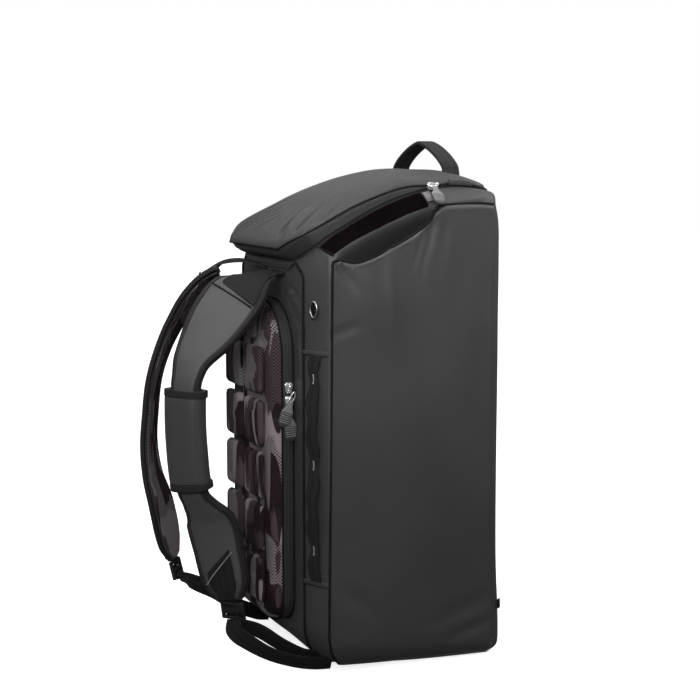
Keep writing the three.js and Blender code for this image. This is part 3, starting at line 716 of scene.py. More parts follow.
NICKEL = Metal("bright_nickel", "slider_metal", (0.86, 0.86, 0.87), (0.74, 0.74, 0.76), 0.16, 0.5, 0.0, 0.1)
DULL_NICKEL = Metal(
    "dull_nickel", "slider_metal", (0.34, 0.34, 0.345), (0.26, 0.26, 0.265), 0.3, 0.5, 0.0, 0.1, metallic=1.0
)
RUBBER = Finish("grey_rubber", "pull_rubber", (0.15, 0.15, 0.154), (0.12, 0.12, 0.124), 0.5, 0.4, 0.0, 0.3)
# Core of the pulls, painted dark as the shade of their ribbed part.
RIB_SHADE_CORE = Finish("dark_rubber", "pull_rubber", (0.035, 0.035, 0.036), (0.028, 0.028, 0.029), 0.6, 0.3, 0.0, 0.3)
LABEL = CoatedCloth("label_cloth", "webbing", (0.15, 0.15, 0.152), (0.11, 0.11, 0.112), 0.7, 0.3, 0.05, 0.6)
PLASTIC = Finish(
    "black_plastic", "buckle_plastic", (0.012, 0.012, 0.013), (0.009, 0.009, 0.01), 0.38, 0.5, 0.0, 0.25
)
THREAD = Finish("dark_thread", "webbing", (0.03, 0.03, 0.031), (0.022, 0.022, 0.023), 0.7, 0.3, 0.05, 0.3)
PALE_THREAD = Finish("pale_thread", "webbing", (0.24, 0.24, 0.245), (0.18, 0.18, 0.185), 0.7, 0.3, 0.05, 0.3)


# Mesh tools


def new_mesh() -> BMesh:
    """Start an empty mesh with a map."""
    bm = bmesh.new()
    bm.loops.layers.uv.new("UVMap")
    return bm


def mesh_of(name: str, bm: BMesh) -> bpy.types.Mesh:
    """Turn a mesh in the making, which is used up, into a finished one."""
    mesh = bpy.data.meshes.new(name)
    bm.to_mesh(mesh)
    bm.free()
    return mesh


def linked(name: str, data: bpy.types.ID) -> Piece:
    """Put a mesh, a lamp or a camera into the scene."""
    made = bpy.data.objects.new(name, data)
    bpy.context.scene.collection.objects.link(made)
    return made


def joined(meshes: Iterable[BMesh]) -> BMesh:
    """Join meshes, which are used up, into one."""
    whole = new_mesh()
    for bm in meshes:
        mesh = mesh_of("part", bm)
        whole.from_mesh(mesh)
        bpy.data.meshes.remove(mesh)
    return whole


def grid(
    columns: int,
    rows: int,
    place: Callable[[float, float], Vector],
    size: Pair = (1.0, 1.0),
    facing: Vector | None = None,
) -> BMesh:
    """Bend a flat grid so that each of its points lies where place puts it.

    Args:
        columns: Faces along u.
        rows: Faces along v.
        place: Gives the point for u and v from 0 to 1; edges that meet are merged.
        size: Real width and length of the map on it, in metres.
        facing: Direction that an open sheet's face looks to.

    Returns:
        The bent grid, with its faces turned outwards.
    """
    bm = new_mesh()
    layer = bm.loops.layers.uv["UVMap"]
    bmesh.ops.create_grid(bm, x_segments=columns, y_segments=rows, size=0.5, calc_uvs=True)
    for face in bm.faces:
        for loop in face.loops:
            loop[layer].uv = (loop[layer].uv.x * size[0], loop[layer].uv.y * size[1])
    for vert in bm.verts:
        vert.co = place(vert.co.x + 0.5, vert.co.y + 0.5)
    bmesh.ops.remove_doubles(bm, verts=bm.verts[:], dist=MERGE)
    bmesh.ops.recalc_face_normals(bm, faces=bm.faces[:])
    return bm if facing is None else turn_to(bm, facing)


def turn_to(bm: BMesh, facing: Vector) -> BMesh:
    """Turn an open sheet so that it looks to a direction."""
    bm.normal_update()
    if sum(face.normal.dot(facing) * face.calc_area() for face in bm.faces) < 0:
        bmesh.ops.reverse_faces(bm, faces=bm.faces[:])
    return bm


def close_ends(bm: BMesh) -> BMesh:
    """Fill the open ends of a tube and turn its faces outwards."""
    bmesh.ops.holes_fill(bm, edges=[edge for edge in bm.edges if edge.is_boundary], sides=0)
    bmesh.ops.recalc_face_normals(bm, faces=bm.faces[:])
    return bm


def thicken(bm: BMesh, wall: float) -> BMesh:
    """Give an open sheet a wall, grown behind its face."""
    bm.normal_update()
    bmesh.ops.solidify(bm, geom=bm.faces[:], thickness=wall)
    return bm


def bevel(bm: BMesh, edges: Sequence[BMEdge], offset: float, segments: int, within: bool = False) -> BMesh:
    """Round edges of a mesh.

    Args:
        bm: The mesh.
        edges: Its edges that are rounded.
        offset: Width of the rounding.
        segments: Steps of the rounding.
        within: Whether the rounding stays within short faces.

    Returns:
        The mesh.
    """
    bmesh.ops.bevel(
        bm,
        geom=edges,
        offset=offset,
        affect="EDGES",
        segments=segments,
        profile=0.5,
        material=-1,
        clamp_overlap=within,
    )
    return bm


def roughen(bm: BMesh, height: float, scale: float) -> BMesh:
    """Let cloth rise and fall a little, with about so many swells to a metre."""
    for vert in bm.verts:
        vert.co += vert.normal * height * noise.noise(vert.co * scale)
    return bm


def rounded(angle: float, half: float, deep: float, power: float) -> Pair:
    """Point of a rounded rectangle's outline.

    Args:
        angle: Angle round the outline.
        half: Half width.
        deep: Half thickness.
        power: 2 for an ellipse, more for squarer corners.

    Returns:
        Distances across and out.
    """
    c, s = math.cos(angle), math.sin(angle)
    return half * math.copysign(abs(c) ** (2 / power), c), deep * math.copysign(abs(s) ** (2 / power), s)


def sweep(stations: Sequence[Station], columns: int, section: Section) -> BMesh:
    """Sweep a section along stations.

    Args:
        stations: Cross-sections in order.
        columns: Faces round the section.
        section: Gives the distances across and out for u from 0 to 1.

    Returns:
        The swept skin, mapped in metres.
    """
    last = len(stations) - 1
    length = sum((b.middle - a.middle).length for a, b in zip(stations, stations[1:]))
    width = 2 * max(station.half for station in stations)

    def place(u: float, v: float) -> Vector:
        station = stations[round(v * last)]
        return station.point(*section(u, station))

    return grid(columns, last, place, (2 * width, length))


def ribbon(
    stations: Sequence[Station], thickness: float, columns: int = 24, power: float = 7.0, droop: float = 0.0
) -> BMesh:
    """Sweep a flat closed band with rounded edges, which may droop."""

    def section(u: float, station: Station) -> Pair:
        a, b = rounded(math.tau * u, station.half, thickness / 2, power)
        return a, b - droop * (a / station.half) ** 2

    return close_ends(sweep(stations, columns, section))


def path_frames(path: Sequence[Vector], closed: bool = False) -> list[Station]:
    """Carry a steady frame along a path.

    Args:
        path: Points of the path.
        closed: Whether the path returns to its start.

    Returns:
        A station for each point, with no half width.
    """
    count = len(path)
    stations = []
    side = Vector((0.3, 0.5, 0.8))
    for i, middle in enumerate(path):
        ahead = path[(i + 1) % count] if closed or i + 1 < count else middle
        behind = path[i - 1] if closed or i else middle
        along = (ahead - behind).normalized()
        side = (side - along * side.dot(along)).normalized()
        stations.append(Station(middle, along, side, along.cross(side), 0.0))
    return stations


def tube(path: Sequence[Vector], radius: float, sides: int = 8, closed: bool = False) -> BMesh:
    """Run a round tube along a path.

    Args:
        path: Points of the path.
        radius: Radius of the tube.
        sides: Faces round it.
        closed: Whether the path returns to its start.

    Returns:
        The tube, closed at its ends.
    """
    stations = path_frames(path, closed)
    if closed:
        stations.append(stations[0])
    bm = sweep(stations, sides, lambda u, _: rounded(math.tau * u, radius, radius, 2.0))
    return bm if closed else close_ends(bm)


def evened(path: Sequence[Vector], step: float, closed: bool = False) -> list[Vector]:
    """Space the points of a path evenly.

    Args:
        path: Points of the path.
        step: Distance wanted between points.
        closed: Whether the path returns to its start.

    Returns:
        Points about a step apart, without the start again on a closed path.
    """
    points = [*path, path[0]] if closed else list(path)
    lengths = [(b - a).length for a, b in zip(points, points[1:])]
    total = sum(lengths)
    count = max(2, round(total / step))
    result, passed, i = [], 0.0, 0
    for k in range(count if closed else count + 1):
        target = total * k / count
        while i < len(lengths) - 1 and passed + lengths[i] < target:
            passed += lengths[i]
            i += 1
        result.append(points[i].lerp(points[i + 1], clamp((target - passed) / max(lengths[i], MERGE))))
    return result


def copy_of(node: str) -> BMesh:
    """Copy a solid of the frame, merged and with its triangles joined to four-sided faces."""
    bm = bmesh.new()
    bm.from_mesh(bpy.data.objects[node].data)
    bmesh.ops.remove_doubles(bm, verts=bm.verts[:], dist=MERGE)
    flat_enough, square_enough = math.radians(40), math.radians(80)
    bmesh.ops.join_triangles(
        bm, faces=bm.faces[:], angle_face_threshold=flat_enough, angle_shape_threshold=square_enough
    )
    bm.normal_update()
    return bm


def modified(bm: BMesh, kind: str, **settings: object) -> BMesh:
    """Work a mesh with one modifier.

    Args:
        bm: The mesh, which is used up.
        kind: Kind of the modifier.
        **settings: Its settings.

    Returns:
        The worked mesh.
    """
    work = linked("work", mesh_of("work", bm))
    modifier = work.modifiers.new("work", kind)
    for key, value in settings.items():
        setattr(modifier, key, value)
    made = bmesh.new()
    made.from_object(work, bpy.context.evaluated_depsgraph_get())
    bpy.data.meshes.remove(work.data)
    return made


def soft_copy(node: str, angle: float, crease: float, levels: int) -> BMesh:
    """Copy a solid of the frame and subdivide it smoothly.

    Args:
        node: Name of the solid.
        angle: Bend, in degrees, past which an edge is held against softening.
        crease: How firmly it is held, from 0 to 1.
        levels: Levels of subdivision.

    Returns:
        The denser copy.
    """
    bm = copy_of(node)
    layer = bm.edges.layers.float.new("crease_edge")
    for edge in bm.edges:
        if edge.is_manifold and edge.calc_face_angle() > math.radians(angle):
            edge[layer] = crease
    dense = modified(bm, "SUBSURF", levels=levels, render_levels=levels)
    layer = dense.edges.layers.float.get("crease_edge")
    if layer:
        dense.edges.layers.float.remove(layer)
    return dense


@dataclass(frozen=True)
class Fold:
    """A fold in cloth from start to end, deepest near its start; a negative depth makes a ridge."""

    start: Row
    end: Row
    depth: float
    width: float

    def mirrored(self, side: Side, share: float = 1.0) -> Fold:
        """The same fold on one side of the bag, with a share of its depth."""
        start, end = (tuple(side.turned(Vector(place))) for place in (self.start, self.end))
        return Fold(start, end, self.depth * share, self.width)

    def sink(self, point: Vector, out: Vector) -> float:
        """How far the fold draws a point of the cloth in.

        Args:
            point: Point of the cloth.
            out: Direction out of the cloth.

        Returns:
            The distance, which turns to a low ridge beside the fold.
        """
        start = Vector(self.start)
        run = Vector(self.end) - start
        part = clamp((point - start).dot(run) / run.length_squared, -0.2, 1.2)
        off = point - start - run * part
        far = (off - out * off.dot(out)).length / self.width
        fade = ease(part, -0.12, 0.15) * (1 - ease(part, 0.35, 1.05))
        return self.depth * fade * (1 - 0.9 * far * far) * math.exp(-far * far)


def press(
    verts: Sequence[BMVert], folds: Sequence[Fold], out: Vector, swell: float = 0.0, scale: float = 9.0
) -> None:
    """Press folds and a soft unevenness into cloth.

    Args:
        verts: Points of the cloth.
        folds: Its folds.
        out: Direction out of the cloth.
        swell: Height of the unevenness.
        scale: How many swells there are to a metre.
    """
    for vert in verts:
        sink = sum(fold.sink(vert.co, out) for fold in folds)
        wave = swell * noise.noise(vert.co * scale)
        vert.co += out * (wave - sink)


def stitched(
    path: Sequence[Vector], out: Vector, stitch: float = 0.0032, gap: float = 0.0014, thick: float = 0.0007
) -> BMesh:
    """Sew a row of stitches along a path.

    Args:
        path: Line of the seam.
        out: Direction out of the cloth.
        stitch: Length of a stitch.
        gap: Gap between stitches.
        thick: Thickness of the thread.

    Returns:
        The stitches as one mesh.
    """
    points = evened(path, stitch + gap)
    bm = new_mesh()
    for a, b in zip(points, points[1:]):
        along = (b - a).normalized()
        face = (out - along * out.dot(along)).normalized()
        basis = Matrix((along * stitch, face.cross(along) * thick, face * thick)).transposed().to_4x4()
        basis.translation = (a + b) / 2
        bmesh.ops.create_cube(bm, size=1.0, matrix=basis)
    return bm


def plate(outline: Sequence[Pair], thickness: float, edge: float, segments: int = 2) -> BMesh:
    """Cut a flat plate with rounded edges, in the XY plane and centred on its thickness.

    Args:
        outline: Corners of the plate, in order.
        thickness: Its thickness.
        edge: Radius of its edges.
        segments: Steps of the rounding.

    Returns:
        The plate.
    """
    bm = new_mesh()
    face = bm.faces.new([bm.verts.new((x, y, -thickness / 2)) for x, y in outline])
    raised = bmesh.ops.extrude_face_region(bm, geom=[face])
    top = [item for item in raised["geom"] if isinstance(item, BMVert)]
    bmesh.ops.translate(bm, verts=top, vec=(0, 0, thickness))
    bmesh.ops.recalc_face_normals(bm, faces=bm.faces[:])
    return bevel(bm, bm.edges[:], edge, segments, within=True)


def set_in(bm: BMesh, place: Vector, down: Vector, out: Vector) -> BMesh:
    """Hang a small flat piece: its Y runs against down, its Z points out.

    Args:
        bm: The piece, drawn in the XY plane.
        place: Where its origin goes.
        down: Direction that it hangs in.
        out: Direction out of the surface behind it.

    Returns:
        The piece in place.
    """
    up = -down.normalized()
    face = (out - up * out.dot(up)).normalized()
    basis = Matrix((up.cross(face), up, face)).transposed().to_4x4()
    basis.translation = place
    bmesh.ops.transform(bm, matrix=basis, verts=bm.verts[:])
    return bm


def add_piece(
    name: str, bm: BMesh, finish: Finish, replaces: Sequence[str] = (), levels: int = 0, sharp: float = 50.0
) -> Piece:
    """Make a finished piece that rides on the bag.

    Args:
        name: Name of the piece.
        bm: Its mesh, which is used up.
        finish: Its finish.
        replaces: Solids of the frame that it stands for.
        levels: Levels of subdivision left on it.
        sharp: Angle, in degrees, past which an edge is shaded sharp.

    Returns:
        The piece.
    """
    mesh = mesh_of(name, bm)
    mesh.polygons.foreach_set("use_smooth", [True] * len(mesh.polygons))
    mesh.set_sharp_from_angle(angle=math.radians(sharp))
    mesh.materials.append(finish.material)
    piece = linked(name, mesh)
    if levels:
        modifier = piece.modifiers.new("soft", "SUBSURF")
        modifier.levels = modifier.render_levels = levels
    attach(piece, BODY)
    if replaces:
        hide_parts(*replaces)
    return piece


# Sub-assemblies


@dataclass
class Studio:
    """White floor, soft light from above and the camera at the photograph's angle."""

    floor_half: float = 9.0
    camera_place: Row = (1.811, -0.837, 0.674)
    camera_drop: float = 7.46
    camera_turn: float = 65.58
    lens: float = 73.86
    sensor: float = 36.0

    def build(self) -> None:
        """Set the stage."""
        bpy.context.scene.view_settings.view_transform = "Standard"
        self.floor()
        self.sky()
        self.lamp("key_light", (0.3, -0.5, 1.9), (0.05, 0.0, 0.55), size=1.5, power=12.0)
        self.lamp("fill_light", (2.3, -1.3, 1.5), (0.1, -0.02, 0.87), size=1.0, power=5.5, spread=40.0)
        self.lamp("rim_light", (0.7, 1.5, 1.7), (0.05, -0.08, 0.62), size=0.4, power=1.4, spread=40.0)
        self.camera()

    def floor(self) -> None:
        """Lay a pale floor that throws little light back."""
        bm = bmesh.new()
        bmesh.ops.create_grid(bm, x_segments=1, y_segments=1, size=self.floor_half)
        paint = bpy.data.materials.new("floor_paint")
        paint.use_nodes = True
        graph = Graph(paint.node_tree)
        shader = paint.node_tree.nodes["Principled BSDF"]
        shader.inputs["Roughness"].default_value = 0.9
        shader.inputs["Specular IOR Level"].default_value = 0.0
        shader.inputs["Emission Strength"].default_value = 1.0
        seen = graph.add("LightPath").outputs["Is Camera Ray"]
        graph.set(shader.inputs["Base Color"], graph.tint(seen, (0.12, 0.12, 0.12), (0.8, 0.8, 0.8)))
        graph.set(shader.inputs["Emission Color"], graph.tint(seen, (0.0, 0.0, 0.0), (0.78, 0.78, 0.78)))
        floor = linked("floor", mesh_of("floor", bm))
        floor.data.materials.append(paint)

    def sky(self) -> None:
        """Light the scene softly, brighter from above, on a white backdrop."""
        world = bpy.data.worlds.new("studio")
        bpy.context.scene.world = world
        world.use_nodes = True
        graph = Graph(world.node_tree)
        background = world.node_tree.nodes["Background"]
        background.inputs["Color"].default_value = (1, 1, 1, 1)
        height = graph.add("SeparateXYZ", {0: graph.add("TexCoord").outputs["Generated"]}).outputs[2]
        glow = graph.spread(height, -0.05, 0.9, 0.12, 0.9)
        seen = graph.add("LightPath").outputs["Is Camera Ray"]
        graph.set(background.inputs["Strength"], graph.math("MAXIMUM", glow, seen))

    def lamp(
        self, name: str, place: Row, target: Row, size: float, power: float, spread: float = 180.0
    ) -> None:
        """Hang a large soft lamp.

        Args:
            name: Name of the lamp.
            place: Where it hangs.
            target: What it points at.
            size: Side of its square.
            power: Its power in watts.
            spread: Angle of its beam, in degrees.
        """
        light = bpy.data.lights.new(name, "AREA")
        light.size = size
        light.energy = power
        light.spread = math.radians(spread)
        lamp = linked(name, light)
        lamp.location = place
        lamp.rotation_euler = (Vector(target) - Vector(place)).to_track_quat("-Z", "Y").to_euler()

    def camera(self) -> None:
        """Set the camera."""
        data = bpy.data.cameras.new("camera")
        data.lens = self.lens
        data.sensor_width = self.sensor
        camera = linked("camera", data)
        camera.location = self.camera_place
        camera.rotation_euler = (math.radians(90 - self.camera_drop), 0, math.radians(self.camera_turn))
        bpy.context.scene.camera = camera


@dataclass
class Shell:
    """Body of the bag: strap face, base, back, corner gussets and the inner walls of the sleeves."""

    form: BagForm
    piping: float = 0.0017
    hem_depth: float = 0.012
    hem_belly: float = 0.0014
    hem_wall: float = 0.0012
    rear_fill: float = 0.0055
    bar_heights: Row = (0.431, 0.127)
    bar_half: float = 0.0028
    bar_thickness: float = 0.0012
    bar_seam: float = 0.0006
    creased_front: float = -0.126
    creased_heights: Pair = (0.38, 0.53)
    folds: tuple[Fold, ...] = (
        Fold((0.056, -0.132, 0.500), (0.122, -0.132, 0.444), 0.0060, 0.0045),
        Fold((0.058, -0.132, 0.514), (0.116, -0.132, 0.496), 0.0045, 0.0040),
        Fold((0.066, -0.132, 0.507), (0.118, -0.132, 0.470), -0.0030, 0.0080),
        Fold((0.098, -0.132, 0.452), (0.106, -0.132, 0.390), 0.0030, 0.0045),
    )

    def build(self) -> list[Piece]:
        """Build the shell and the seams on it."""
        return [self.skin(), self.hem(), *self.seams(), *self.bars()]

    def skin(self) -> Piece:
        """Soften the shell, let its cloth hang a little unevenly and crease it beside the straps."""
        bm = soft_copy("main_shell", angle=34, crease=0.85, levels=2)
        for vert in bm.verts:
            wave = vert.normal * 0.0008 * noise.noise(vert.co * 14)
            vert.co = self.form.slump(vert.co) + self.shoulder(vert.co) + wave
        creased = [edge for edge in bm.edges if all(self.is_creased(vert.co) for vert in edge.verts)]
        bmesh.ops.subdivide_edges(bm, edges=creased, cuts=2, use_grid_fill=True)
        low = self.creased_heights[0]
        face = [vert for vert in bm.verts if vert.co.y < self.form.front_seam_y and vert.co.z > low]
        for side in Side:
            press(face, [fold.mirrored(side) for fold in self.folds], FRONT)
        return add_piece("shell", bm, COATED, ["main_shell"], levels=1)

    def is_creased(self, point: Vector) -> bool:
        """Whether a point lies in the part of the strap face that the straps crease."""
        low, high = self.creased_heights
        return point.y < self.creased_front and low < point.z < high

    def shoulder(self, point: Vector) -> Vector:
        """Shift that rounds out the rear corners of the top gusset."""
        low, high = self.form.seam.at(point.y), self.form.zip_line.at(point.y)
        part = clamp((point.z - low) / (high - low))
        away = Vector((point.x, point.y, 0)).normalized() + UP
        return away * self.rear_fill * 4 * part * (1 - part) * ease(point.y, 0.03, 0.12)

    def hem(self) -> Piece:
        """Fold a hem along the top of the strap face."""
        form = self.form
        reach = form.face_half

        def place(u: float, v: float) -> Vector:
            rim = form.rim_point(lerp(-reach, reach, u), form.face_y)
            belly = self.hem_belly * math.sin(math.pi * v)
            depth = self.hem_depth * (1 - 0.75 * ease(abs(2 * u - 1), 0.75, 1.0))
            return rim + Vector((0, -0.0009 - belly, -0.001 - depth * v))

        bm = thicken(grid(40, 6, place, facing=FRONT), self.hem_wall)
        return add_piece("face_hem", bm, LID, levels=1)

    def seams(self) -> list[Piece]:
        """Pipe the seam between the strap face and each corner gusset."""
        form = self.form
        x, y = form.face_half, form.face_y
        start = 0.08
        path = [form.base_point(x, y, rise) for rise in spaced(start, 1, 14)]
        path += [Vector((x, y, z)) for z in spaced(path[-1].z, form.seam.at(y), 20)[1:]]
        path.append(form.rim_point(x, y, -0.002))
        sunk = Vector((-0.0004, 0.0006, 0))
        made = []
        for side in Side:
            bm = tube(evened([side.turned(point + sunk) for point in path], 0.006), self.piping)
            made.append(add_piece(f"gusset_seam_{side.word}", bm, PIPING))
        return made

    def bars(self) -> list[Piece]:
        """Lay a folded seam across each corner gusset, above and below its webbing."""
        form = self.form
        corners = ((form.face_half, form.face_y), form.gusset, (form.side_x, form.front_seam_y))
        made = []
        for side in Side:
            out = side.turned(form.gusset_out)
            bars, lines = [], []
            for height in self.bar_heights:
                path = evened([Vector((*corner, height)) for corner in corners], 0.004)
                path = [side.turned(point) + out * 0.0002 for point in path]
                frames = path_frames(path)
                stations = [replace(frame, across=UP, out=out, half=self.bar_half) for frame in frames]
                bars.append(ribbon(stations, self.bar_thickness, 12, 3.0))
                low = [point - UP * (self.bar_half + 0.0003) + out * 0.0003 for point in path]
                lines.append(tube(low, self.bar_seam, 6))
            made.append(add_piece(f"gusset_bars_{side.word}", joined(bars), COATED))
            made.append(add_piece(f"gusset_bar_seams_{side.word}", joined(lines), PIPING))
        return made


@dataclass
class SidePanel:
    """Large outer panel of one side, which closes a bat sleeve."""

    form: BagForm
    side: Side
    piping: float = 0.0019
    foot_rise: float = 0.24
    hem: float = 0.0065
    flat: Pair = (0.250, 0.610)
    flat_area: float = 0.140
    folds: tuple[Fold, ...] = (
        Fold((0.15, 0.036, 0.600), (0.15, 0.012, 0.520), 0.0036, 0.008),
        Fold((0.15, 0.024, 0.592), (0.15, -0.004, 0.530), 0.0026, 0.006),
        Fold((0.15, 0.052, 0.598), (0.15, 0.046, 0.520), 0.0020, 0.010),
        Fold((0.15, -0.034, 0.560), (0.15, -0.022, 0.420), -0.0026, 0.014),
        Fold((0.15, -0.106, 0.548), (0.15, -0.070, 0.505), 0.0028, 0.008),
        Fold((0.15, -0.112, 0.455), (0.15, -0.060, 0.470), 0.0020, 0.007),
        Fold((0.15, 0.122, 0.085), (0.15, 0.020, 0.052), 0.0032, 0.011),
        Fold((0.15, 0.122, 0.050), (0.15, 0.050, 0.030), 0.0024, 0.009),
        Fold((0.15, -0.095, 0.120), (0.15, -0.040, 0.075), 0.0024, 0.011),
        Fold((0.15, 0.118, 0.520), (0.15, 0.095, 0.250), 0.0020, 0.020),
        Fold((0.15, -0.012, 0.540), (0.15, 0.060, 0.060), -0.0060, 0.060),
    )

    def build(self) -> list[Piece]:
        """Build the panel, its piping and the stitching of its lip."""
        panel = self.skin()
        trim = [*self.pipe(), self.sew_lip()]
        return [panel, *trim]

    def skin(self) -> Piece:
        """Soften the panel, press its folds in and round its top front corner."""
        name = f"side_panel_{self.side.word}"
        bm = soft_copy(name, angle=50, crease=1.0, levels=3)
        folds = [fold.mirrored(self.side) for fold in self.folds]
        press(bm.verts[:], folds, self.side.turned(RIGHT), swell=0.0013, scale=11)
        for vert in bm.verts:
            vert.co = self.form.corner(self.form.slump(vert.co))
        return add_piece(f"{name}_cloth", bm, COATED, [name])

    def edges(self) -> tuple[list[Vector], list[Vector]]:
        """Outline of the right panel in two runs: front and top, then back and foot."""
        form = self.form
        face = Vector((form.panel_face - 0.001, 0, 0))
        rises = spaced(self.foot_rise, 1, 8)
        front = [form.base_point(form.side_x, form.front_seam_y, rise) + face for rise in rises]
        back = [form.base_point(form.side_x, form.back_seam_y, rise) + face for rise in reversed(rises)]
        depths = spaced(form.front_seam_y, form.back_seam_y, 60)
        top = [form.lip_point(y) - Vector((0.001, 0, 0)) for y in depths]
        foot = [form.base_point(form.side_x, y, self.foot_rise) + face for y in reversed(depths[1:-1])]
        return front + top, back + foot

    def pipe(self) -> list[Piece]:
        """Pipe the front and top of the panel, and roll its back and foot in its own cloth."""
        made = []
        for word, edge, finish in zip(("piping", "rolled_edge"), self.edges(), (PIPING, COATED)):
            path = evened([self.side.turned(self.form.corner(self.form.slump(p))) for p in edge], 0.005)
            made.append(add_piece(f"panel_{word}_{self.side.word}", tube(path, self.piping), finish))
        return made

    def sew_lip(self) -> Piece:
        """Stitch the hem of the sleeve mouth."""
        form = self.form
        depths = spaced(form.mouth_front + 0.006, form.mouth_back - 0.004, 40)
        path = [self.side.turned(form.lip_point(y) + Vector((0.0004, 0, -self.hem))) for y in depths]
        bm = stitched(path, self.side.turned(RIGHT))
        return add_piece(f"lip_stitches_{self.side.word}", bm, THREAD)


@dataclass
class Lid:
    """Zipped lid with its zip wall, handle, sliders and pulls."""

    form: BagForm
    piping: float = 0.0011
    handle_y: float = 0.101
    handle_half_span: float = 0.075
    handle_top: float = 0.703
    handle_half: float = 0.0125
    handle_thickness: float = 0.005
    handle_peak: float = 1.5
    handle_foot: Row = (0.002, 0, -0.009)
    front_lift: float = 0.007
    rear_drop: float = 0.0065
    slider_y: float = 0.050
    pull_swing: float = math.radians(-13)
    garage: Pair = (0.079, 0.114)
    garage_half: float = 0.0048
    tuck: float = 0.0025
    coil: float = 0.0011
    coil_share: float = 0.12
    folds: tuple[Fold, ...] = (
        Fold((0.108, -0.147, 0.59), (0.056, -0.070, 0.62), 0.0075, 0.0045),
        Fold((0.074, -0.155, 0.58), (0.022, -0.086, 0.61), 0.0065, 0.0040),
        Fold((0.055, -0.157, 0.58), (0.012, -0.098, 0.61), 0.0050, 0.0036),
        Fold((0.034, -0.157, 0.58), (-0.004, -0.108, 0.60), 0.0045, 0.0040),
        Fold((0.092, -0.153, 0.58), (0.040, -0.080, 0.61), -0.0055, 0.0090),
        Fold((0.119, -0.122, 0.60), (0.078, -0.040, 0.63), 0.0040, 0.0070),
    )

    def build(self) -> list[Piece]:
        """Build the lid and what is on it."""
        pieces = [self.dome(), self.rim_piping(), *self.zip_wall(), self.handle()]
        for side in Side:
            pieces += [*self.slider(side), self.zip_garage(side)]
        return pieces

    def dome(self) -> Piece:
        """Crown the lid and wrinkle its front corners."""
        bm = soft_copy("top_lid", angle=60, crease=0.6, levels=3)
        front = [e for e in bm.edges if all(v.co.y < -0.06 and v.normal.z > 0.2 for v in e.verts)]
        bmesh.ops.subdivide_edges(bm, edges=front, cuts=1, use_grid_fill=True)
        bm.normal_update()
        mirrored = [fold.mirrored(Side.LEFT, 0.8) for fold in self.folds]
        press(bm.verts[:], [*self.folds, *mirrored], UP, swell=0.0012, scale=14)
        for vert in bm.verts:
            vert.co = self.raised(vert.co)
        return add_piece("lid_cloth", bm, LID, ["top_lid"])

    def raised(self, point: Vector, share: float = 1.0) -> Vector:
        """Lift the lid's front edge, which stands up over the zip, and lay its rear edges down."""
        front = 1 - ease(point.y, self.form.lid_front, -0.09)
        edge = max(ease(abs(point.x), 0.05, 0.115), ease(point.y, 0.09, 0.135))
        rear = edge * ease(point.y, 0.0, 0.06)
        return point + UP * share * (self.front_lift * front - self.rear_drop * rear)

    def rim_piping(self) -> Piece:
        """Pipe the lower edge of the lid."""
        path = [self.raised(self.form.lid_point(x, y, -0.006)) for x, y in self.form.plan()]
        return add_piece("lid_piping", tube(evened(path, 0.006, True), self.piping, closed=True), PIPING)

    def zip_wall(self) -> list[Piece]:
        """Build the zip wall: its tape and the coil between the tapes."""
        form, share = self.form, self.coil_share
        bm = soft_copy("lid_zip", angle=60, crease=1.0, levels=2)
        for vert in bm.verts:
            low, high = form.zip_line.at(vert.co.y), form.lid_edge.at(vert.co.y) - 0.008
            part = clamp((vert.co.z - low) / (high - low))
            vert.co = self.raised(vert.co, part) + UP * self.tuck * (2 * part - 1)
        wall = add_piece("lid_zip_tape", bm, ZIP_TAPE, ["lid_zip"])
        path = [self.raised(form.zip_wall_point(x, y, share), share) for x, y in form.plan()]
        path = [p + Vector((p.x, p.y, 0)).normalized() * 0.0005 for p in path]
        coil = tube(evened(path, 0.006, True), self.coil, 6, closed=True)
        return [wall, add_piece("lid_zip_coil", coil, PIPING)]

    def handle(self) -> Piece:
        """Bend the webbing handle over the lid."""
        base = self.form.lid_edge.at(self.handle_y) + 0.008
        rise = self.handle_top - base - self.handle_thickness / 2

        def bend(value: float) -> float:
            return math.copysign(abs(value) ** self.handle_peak, value)

        arch = []
        for angle in spaced(math.pi, 0, 36):
            x = self.handle_half_span * bend(math.cos(angle))
            arch.append(Vector((x, self.handle_y, base + rise * bend(math.sin(angle)))))
        foot = Vector(self.handle_foot)
        arch = [arch[0] + Side.LEFT.turned(foot), *arch, arch[-1] + foot]
        stations = [
            replace(frame, across=-FRONT, out=frame.along.cross(FRONT), half=self.handle_half)
            for frame in path_frames(arch)
        ]
        return add_piece("handle_webbing", ribbon(stations, self.handle_thickness), WEBBING, ["top_handle"])

    def slider(self, side: Side) -> list[Piece]:
        """Put a slider on the zip, with its pull lying down the slope of the top gusset."""
        form = self.form
        low, high = (form.gusset_point(self.slider_y, part) for part in (0, 1))
        slope = (low - high).normalized()
        outward = Vector((-slope.z, 0, slope.x))
        fast = Vector((form.rim_half + 0.0035, high.y, high.z + 0.003))
        hook = high + slope * 0.006 + outward * 0.0055
        fall = slope + Vector((0, math.tan(self.pull_swing), 0))
        hook, fall, outward = (side.turned(vector) for vector in (hook, fall, outward))
        hardware = ZipHardware(f"lid_{{}}_{side.word}")
        return hardware.build(side.turned(fast), -FRONT, side.turned(RIGHT), hook, fall, outward)

